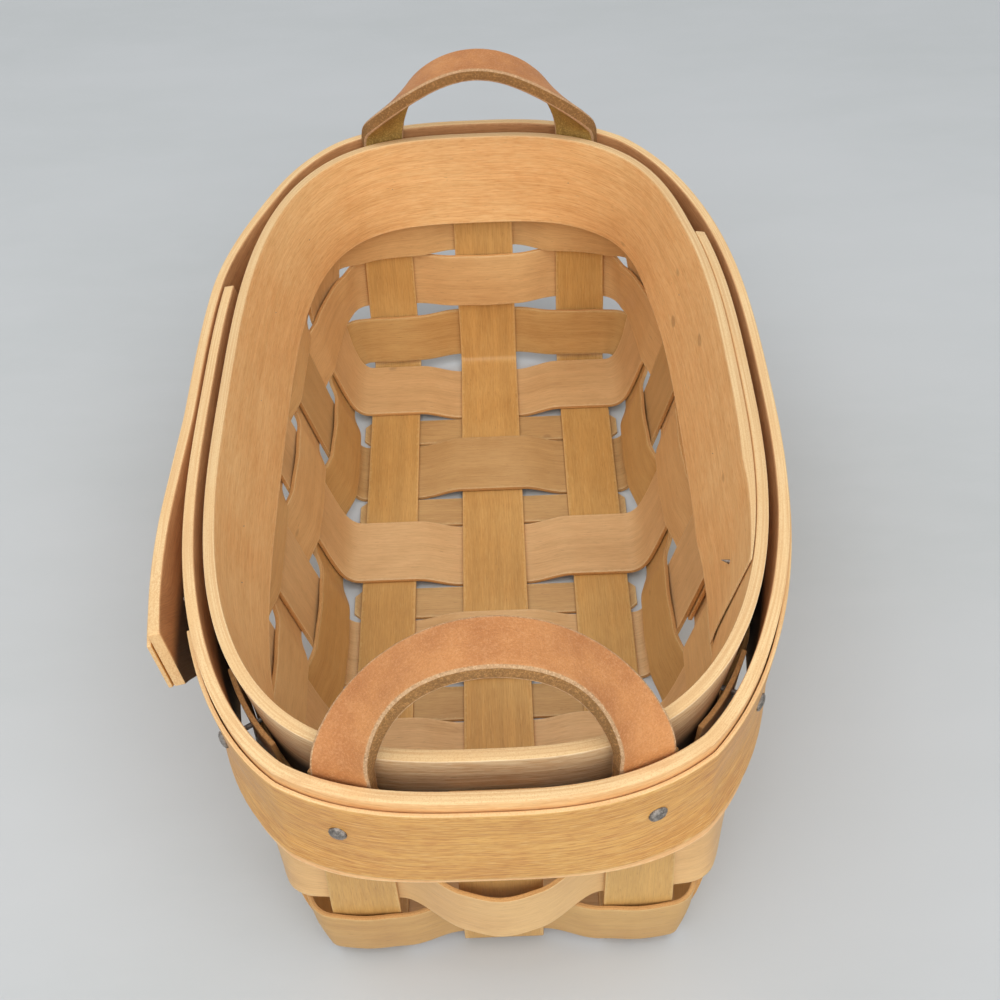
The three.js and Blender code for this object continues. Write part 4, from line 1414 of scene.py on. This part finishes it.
@dataclass
class EarHandle:
    """A leather ear, its legs in the slot and its loop twisted level at the top."""

    sizes: BasketSizes
    wall: Wall
    side: int
    name: str
    finish: list[Material]
    leg_foot_gap: float = 1.0
    twist_start: float = 1.5
    twist_ease: float = 0.75
    arch_fullness: float = 1.5
    arch_steps: int = 110
    leg_steps: int = 16
    across_steps: int = 12
    edge_inset: float = 0.8
    edge_round: float = 0.55
    raggedness: float = 0.05
    spacing: float = 0.55
    ease: float = 2.2
    seed: int = 111

    def _leg(self, hand: int) -> tuple[np.ndarray, np.ndarray]:
        """Finds the middle line and facing of one leg.

        Args:
            hand: 1 for the right leg, -1 for the left one.

        Returns:
            Points from its foot up, and the way that its grain side faces at each.
        """
        s = self.sizes
        place = self.wall.leg_place(self.side, hand)
        heights = np.linspace(s.rows_top + self.leg_foot_gap, s.rim_height, self.leg_steps)
        points, normals = self.wall.frames(np.array([place]), heights)
        return points[0] + normals[0] * (s.stake_face + s.leather / 2), normals[0]

    def _middle(self) -> tuple[np.ndarray, np.ndarray]:
        """Runs the strap's middle line from one foot to the other.

        Returns:
            Points along it, and the way that the grain side faces at each.
        """
        s = self.sizes
        left, left_face = self._leg(-1)
        right, right_face = self._leg(1)
        outward = np.array([0.0, float(self.side), 0.0])
        top = s.rim_height + s.loop_height + s.leather / 2
        points, faces = list(left), list(left_face)
        for i in range(self.arch_steps + 1):
            turn = math.pi * i / self.arch_steps
            rise = math.sin(turn)
            foot = between(left[-1], right[-1], (1 - math.cos(turn)) / 2)
            face = left_face[-1] if i * 2 <= self.arch_steps else right_face[-1]
            fullness = max(0.0, rise) ** self.arch_fullness
            z = between(s.rim_height + self.twist_start, top, fullness)
            y = foot[1] - self.side * s.loop_lean * smooth(rise)
            fan = unit(np.array([-math.cos(turn), 0.0, rise]))
            flat = unit(between(face, outward, smooth(rise)))
            twist = math.pi / 2 * smooth(rise) ** self.twist_ease
            points.append(np.array([foot[0], y, z]))
            faces.append(flat * math.cos(twist) + fan * math.sin(twist))
        points += list(right[::-1])
        faces += list(right_face[::-1])
        return self._eased(np.array(points), np.array(faces))

    def _eased(self, points: np.ndarray, faces: np.ndarray) -> tuple[np.ndarray, np.ndarray]:
        """Spaces the strap's lines evenly and eases the turn where a leg leaves the slot.

        Args:
            points: points along the strap's middle.
            faces: the way that the grain side faces at each.

        Returns:
            The same, eased over a few millimetres.
        """
        steps = np.linalg.norm(np.diff(points, axis=0), axis=1)
        along = np.concatenate([[0.0], np.cumsum(steps)])
        even = np.linspace(0.0, along[-1], round(along[-1] / self.spacing) + 1)
        reach = round(3 * self.ease / self.spacing)
        apart = np.arange(-reach, reach + 1) * self.spacing
        weights = np.exp(-0.5 * (apart / self.ease) ** 2)
        weights = weights / weights.sum()
        eased = []
        for rows in (points, faces):
            spaced = np.stack([np.interp(even, along, row) for row in rows.T], axis=1)
            before = 2 * spaced[0] - spaced[reach:0:-1]
            after = 2 * spaced[-1] - spaced[-2:-reach - 2:-1]
            wide = np.concatenate([before, spaced, after])
            eased.append(np.stack([np.convolve(row, weights, "valid") for row in wide.T], axis=1))
        return eased[0], unit(eased[1])

    def build(self) -> None:
        """Bends the strap and roughens its raw edges."""
        half = self.sizes.strap_width / 2
        points, faces = self._middle()
        run = unit(np.gradient(points, axis=0))
        across = unit(np.cross(run, faces))
        shares = lines_across(-half, half, self.edge_inset, self.across_steps)
        grid = points[:, None] + across[:, None] * shares[None, :, None]
        normal = np.cross(across, run)
        normal = normal * np.sign(np.sum(normal * faces, axis=1, keepdims=True))
        Sheet(
            "strap", self.name, grid, normal[:, None], self.sizes.leather, "strap_leather",
            self.finish, seed=self.seed + self.side, bevel=self.edge_round, bevel_steps=3,
            raggedness=self.raggedness,
        ).build()


@dataclass
class TackSet:
    """The small tacks that hold bands, stakes and straps together.

    The head's dome is a run of insets, each with its lift, in millimetres. The head is dented
    from just under its seat up, and its top a little less than its rim.
    """

    sizes: BasketSizes
    wall: Wall
    bands: RimBands
    finish: Material
    head_radius: float = 2.1
    head_rise: float = 0.9
    rim_share: float = 0.4
    dome: tuple[tuple[float, float], ...] = ((0.35, 0.26), (0.55, 0.22), (0.6, 0.10))
    shank_radius: float = 0.65
    point: float = 1.4
    point_share: float = 0.12
    pattern_depth: float = 10.0
    sides: int = 14
    search_steps: int = 401
    stand_off: float = 0.05
    show: float = 0.25
    squash: tuple[float, float] = (0.88, 1.08)
    tilt: float = 0.05
    dent: float = 0.055
    top_dent_share: float = 0.8
    head_from: float = -0.1
    top_from: float = 0.2
    end_facing: float = 0.9
    lap_stakes: tuple[int, int] = (1, 4)
    seed: int = 200

    def places(self) -> dict[str, float]:
        """Lists each tack's node with its place round the wall.

        Returns:
            The places. A tack that holds no handle goes by the nearest cross stake, a share of
            its width away from its centre line.
        """
        s = self.sizes
        found: dict[str, float] = {}
        for side, end in ((1, "far"), (-1, "near")):
            for hand, word in ((-1, "left"), (1, "right")):
                found[f"tack_{end}_{word}"] = self.wall.leg_place(side, hand)
        rows = (
            ("corner_far_right", 1, 0, -0.38), ("corner_far_left", -1, 0, 0.38),
            ("corner_near_right", 1, 5, 0.1), ("corner_near_left", -1, 5, 0.1),
            ("left_1", -1, 1, 0.36), ("left_2", -1, 2, 0.36), ("left_3", -1, 3, 0.78),
            ("left_4", -1, 4, 0.0), ("right_1", 1, 1, -0.36), ("right_2", 1, 3, 0.0),
            ("right_3", 1, 4, 0.0),
        )
        for name, side, index, share in rows:
            number = self.wall.number("cross", side, index)
            centre = self.wall.length(np.array([float(number)]), s.rim_height)[0]
            steps = np.linspace(number - 1, number + 1, self.search_steps)
            lengths = self.wall.length(steps, s.rim_height)
            found[f"tack_{name}"] = np.interp(centre + share * s.cross_width, lengths, steps)
        return found

    def model(self) -> bpy.types.Object:
        """Forges a pattern tack along +Z, its head's seat at the origin."""
        bpy.ops.object.select_all(action="DESELECT")
        rim = self.head_rise * self.rim_share * MM
        bpy.ops.mesh.primitive_cylinder_add(
            vertices=self.sides, radius=self.head_radius * MM, depth=rim, location=(0, 0, rim / 2)
        )
        tack = bpy.context.active_object
        bpy.ops.object.transform_apply(location=True, rotation=True, scale=True)
        bpy.ops.object.mode_set(mode="EDIT")
        bpy.ops.mesh.select_mode(type="FACE")
        self._pick(tack, 1.0)
        for inset, lift in self.dome:
            bpy.ops.mesh.inset(thickness=inset * MM, depth=lift * MM)
        self._pick(tack, -1.0)
        bpy.ops.mesh.inset(thickness=(self.head_radius - self.shank_radius) * MM, depth=0.0)
        for length in (self.pattern_depth - self.point, self.point):
            down = (0, 0, -length * MM)
            bpy.ops.mesh.extrude_region_move(TRANSFORM_OT_translate={"value": down})
        bpy.ops.transform.resize(value=(self.point_share, self.point_share, 1.0))
        bpy.ops.object.mode_set(mode="OBJECT")
        return tack

    def _pick(self, tack: bpy.types.Object, sign: float) -> None:
        """Selects an end face in edit mode.

        Args:
            tack: the tack.
            sign: 1 for the face that looks up, -1 for the one that looks down.
        """
        bpy.ops.mesh.select_all(action="DESELECT")
        bpy.ops.object.mode_set(mode="OBJECT")
        for polygon in tack.data.polygons:
            polygon.select = polygon.normal.z * sign > self.end_facing
        bpy.ops.object.mode_set(mode="EDIT")

    def build(self) -> None:
        """Puts a tack of its own hammered shape at each place."""
        pattern = self.model()
        for count, (name, place) in enumerate(self.places().items()):
            rng = np.random.default_rng(self.seed + count)
            mesh = pattern.data.copy()
            piece = bpy.data.objects.new(f"head_{name}", mesh)
            bpy.context.collection.objects.link(piece)
            self._hammer(mesh, place, rng)
            mesh.materials.append(self.finish)
            mesh.update()
            hand_over(piece, name)
        bpy.data.objects.remove(pattern, do_unlink=True)

    def _hammer(self, mesh: bpy.types.Mesh, place: float, rng: np.random.Generator) -> None:
        """Dents a tack and drives it in.

        Args:
            mesh: a copy of the pattern.
            place: the tack's place round the wall.
            rng: the tack's own random draws.
        """
        s = self.sizes
        height = np.array([s.rim_height - s.tack_drop])
        if place < self.bands.outer_end - self.wall.count:
            place += self.wall.count
        points, normals = self.wall.frames(np.array([place]), height)
        face = float(self.bands.outer_face(np.array([place]), height)[0, 0])
        face += s.band + s.gap + s.trim
        normal = Vector(normals[0, 0])
        seat = Vector(points[0, 0]) + normal * (face + self.stand_off)
        stretch = (face + self._inner_depth(points[0, 0])) / self.pattern_depth
        squash = Matrix.Diagonal((rng.uniform(*self.squash), rng.uniform(*self.squash), 1.0, 1.0))
        turn = normal.normalized().to_track_quat("Z", "Y").to_matrix().to_4x4()
        spin = Matrix.Rotation(rng.uniform(0, math.tau), 4, "Z")
        tilt = Matrix.Rotation(rng.uniform(-self.tilt, self.tilt), 4, "X")
        for vertex in mesh.vertices:
            if vertex.co.z < self.head_from * MM:
                vertex.co.z *= stretch
            else:
                dent = rng.normal(0, self.dent * MM, 3)
                dent[2] *= self.top_dent_share if vertex.co.z > self.top_from * MM else 0.0
                vertex.co += Vector(dent)
        mesh.transform(Matrix.Translation(seat * MM) @ turn @ tilt @ spin @ squash)

    def _inner_depth(self, point: np.ndarray) -> float:
        """Measures in from the wall's middle to just past the inner band's face.

        Args:
            point: the tack's place on the wall's middle.

        Returns:
            The depth, which counts both plies where the band laps.
        """
        s = self.sizes
        far, near = (s.cross_place(index) for index in self.lap_stakes)
        near -= s.cross_width / 2
        lapped = point[0] > s.side_place and near < point[1] < far
        plies = 2 if lapped else 1
        foot = s.rim_height - s.inner_band_height
        stand = float(self.bands.stand(s.rim_height - s.tack_drop, foot))
        return stand + plies * s.band + (plies - 1) * s.gap + self.show


@dataclass(frozen=True)
class StudioCamera:
    """The camera, set where the photograph was taken from, in millimetres and radians."""

    place: Triple = (5.40, -288.35, 331.08)
    down: float = 0.78539
    turn: float = -0.0094932
    roll: float = -0.045352
    lens: float = 53.19
    sensor: float = 36.0
    nearest: float = 10 * MM

    def build(self) -> None:
        """Adds the camera and makes it the scene's own."""
        data = bpy.data.cameras.new("camera")
        data.lens = self.lens
        data.sensor_width = self.sensor
        data.clip_start = self.nearest
        camera = bpy.data.objects.new("camera", data)
        bpy.context.collection.objects.link(camera)
        camera.matrix_world = Matrix.Translation(Vector(self.place) * MM)
        for angle, axis in ((-self.turn, "Z"), (math.pi / 2 - self.down, "X"), (self.roll, "Z")):
            camera.matrix_world @= Matrix.Rotation(angle, 4, axis)
        bpy.context.scene.camera = camera


@dataclass(frozen=True)
class Lamp:
    """A soft square light that looks at the basket, in metres and watts."""

    name: str
    place: Triple
    size: float
    power: float
    colour: Triple
    aim: Triple = (0.0, 0.0, 0.05)

    def build(self) -> None:
        """Hangs the light."""
        data = bpy.data.lights.new(self.name, "AREA")
        data.size = self.size
        data.energy = self.power
        data.color = self.colour
        lamp = bpy.data.objects.new(self.name, data)
        bpy.context.collection.objects.link(lamp)
        lamp.location = self.place
        lamp.rotation_mode = "QUATERNION"
        towards = Vector(self.aim) - Vector(self.place)
        lamp.rotation_quaternion = towards.to_track_quat("-Z", "Y")


@dataclass(frozen=True)
class Studio:
    """Floor and soft light round the basket."""

    floor_finish: FloorFinish
    reach: float = 3.0
    room_colour: Triple = (0.95, 0.97, 1.0)
    room_strength: float = 0.52
    lamps: tuple[Lamp, ...] = (
        Lamp("window", (0.10, -0.80, 1.25), 1.7, 20.0, (1.0, 0.99, 0.97)),
        Lamp("front", (0.05, -1.15, 0.44), 0.7, 2.4, (1.0, 0.96, 0.90)),
        Lamp("fill", (-0.8, 0.3, 1.0), 1.2, 2.5, (0.98, 0.985, 1.0)),
    )

    def build(self) -> None:
        """Lays the floor and hangs the lights."""
        bpy.ops.object.select_all(action="DESELECT")
        bpy.ops.mesh.primitive_plane_add(size=2 * self.reach, location=(0.0, 0.0, 0.0))
        floor = bpy.context.active_object
        floor.name = "floor"
        floor.data.materials.append(self.floor_finish.material())
        for lamp in self.lamps:
            lamp.build()
        world = bpy.data.worlds.new("soft_room")
        world.use_nodes = True
        back = world.node_tree.nodes["Background"]
        back.inputs["Color"].default_value = (*self.room_colour, 1.0)
        back.inputs["Strength"].default_value = self.room_strength
        bpy.context.scene.world = world
        bpy.context.scene.view_settings.view_transform = "Standard"


def splint_woods() -> list[list[Material]]:
    """Makes the face and edge materials of stakes, cross stakes, fillers and weavers."""
    edge = CutEdgeFinish("splint_cut_edge", (216, 168, 108), (178, 126, 74), (202, 152, 94))
    woods = (
        ("stake_wood", (170, 128, 69), (208, 159, 89), (219, 178, 110), (229, 198, 138)),
        ("cross_stake_wood", (181, 140, 89), (216, 175, 121), (228, 190, 136), (236, 209, 160)),
        ("filler_wood", (173, 130, 81), (202, 163, 109), (218, 183, 125), (229, 203, 150)),
        ("weaver_wood", (179, 131, 73), (210, 166, 105), (217, 180, 119), (222, 194, 140)),
    )
    edge_wood = edge.material()
    return [[SplintFinish(*wood).material(), edge_wood] for wood in woods]


def band_woods(
    sizes: BasketSizes
) -> tuple[list[Material], Material, Material, list[Material]]:
    """Makes the woods of the bent bands.

    Args:
        sizes: the basket's sizes, for the height of the painted slot shade.

    Returns:
        The bands' face and edge, the inner band's raw side, which is made paler as painted light,
        the outer band's slot side, and the trim's face and edge.
    """
    slot_shade_from = (sizes.rim_height - SLOT_SHADE_DROP) * MM
    edge = CutEdgeFinish("band_cut_edge", (232, 200, 149), (207, 160, 109), (224, 184, 130))
    band = SplintFinish(
        "band_wood", (208, 157, 95), (241, 190, 127), (243, 203, 142), (243, 215, 164),
        streaks=420.0, fibre=3200.0, fibre_share=0.28,
    )
    trim = SplintFinish(
        "trim_wood", (192, 136, 60), (219, 163, 82), (224, 178, 100), (229, 194, 129),
        streaks=520.0, fibre=3600.0, fibre_share=0.42, streak_floor=0.35,
    )
    # The inner band's outer side: raw, less stained wood, made paler still as painted light where
    # the face lies in shade, with painted shade lower in the slot.
    raw_painted_lit_side = SplintFinish(
        "raw_band_side_painted_lit", (210, 166, 114), (248, 218, 170), (250, 228, 186), (252, 234, 196),
        streaks=900.0, fibre=2400.0, fibre_share=0.4, streak_floor=0.2, roughness=0.7, bump=0.8,
        slot_shade_from=slot_shade_from,
    )
    # The outer band's back, darkened lower down by painted shade in the slot.
    slot_side = SplintFinish(
        "slot_side_wood", (158, 106, 60), (198, 142, 90), (206, 152, 98), (222, 176, 122),
        fibre_share=0.2, roughness=0.65, slot_shade_from=slot_shade_from,
    )
    edge_wood = edge.material()
    return (
        [band.material(), edge_wood], raw_painted_lit_side.material(), slot_side.material(),
        [trim.material(), edge_wood],
    )


def strap_leather() -> list[Material]:
    """Makes the four sides of a strap, in the order of Face."""
    sides = (
        LeatherFinish(
            "strap_grain_side", (183, 118, 67), (210, 144, 86), (224, 167, 116), roughness=0.5
        ),
        LeatherFinish(
            "strap_raw_edge", (95, 62, 28), (140, 95, 49), (207, 154, 94), roughness=0.9,
            fibres=0.5, bump=1.0, fibre_scale=1500.0,
        ),
        LeatherFinish(
            "strap_flesh_side", (145, 112, 54), (191, 151, 78), (218, 180, 99), roughness=0.8,
            fibres=0.25,
        ),
        LeatherFinish(
            "strap_worn_corner", (184, 128, 82), (218, 166, 116), (244, 206, 160),
            roughness=0.85, fibres=0.6, bump=1.0,
        ),
    )
    return [side.material() for side in sides]


def main() -> None:
    """Builds the basket and its studio."""
    logging.basicConfig(level=logging.INFO, format="%(name)s: %(message)s")
    sizes = BasketSizes()
    wall = Wall(sizes)
    WovenBody(sizes, wall, *splint_woods()).build()
    bands = RimBands(sizes, wall, *band_woods(sizes))
    bands.build()
    leather = strap_leather()
    EarHandle(sizes, wall, 1, "handle_far", leather).build()
    EarHandle(sizes, wall, -1, "handle_near", leather).build()
    steel = SteelFinish("tack_steel_dull", (0.15, 0.135, 0.12), (0.40, 0.365, 0.33)).material()
    TackSet(sizes, wall, bands, steel).build()
    Studio(FloorFinish("pale_floor", (193, 196, 198), (185, 189, 190))).build()
    StudioCamera().build()
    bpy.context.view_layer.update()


if __name__ == "__main__":
    main()
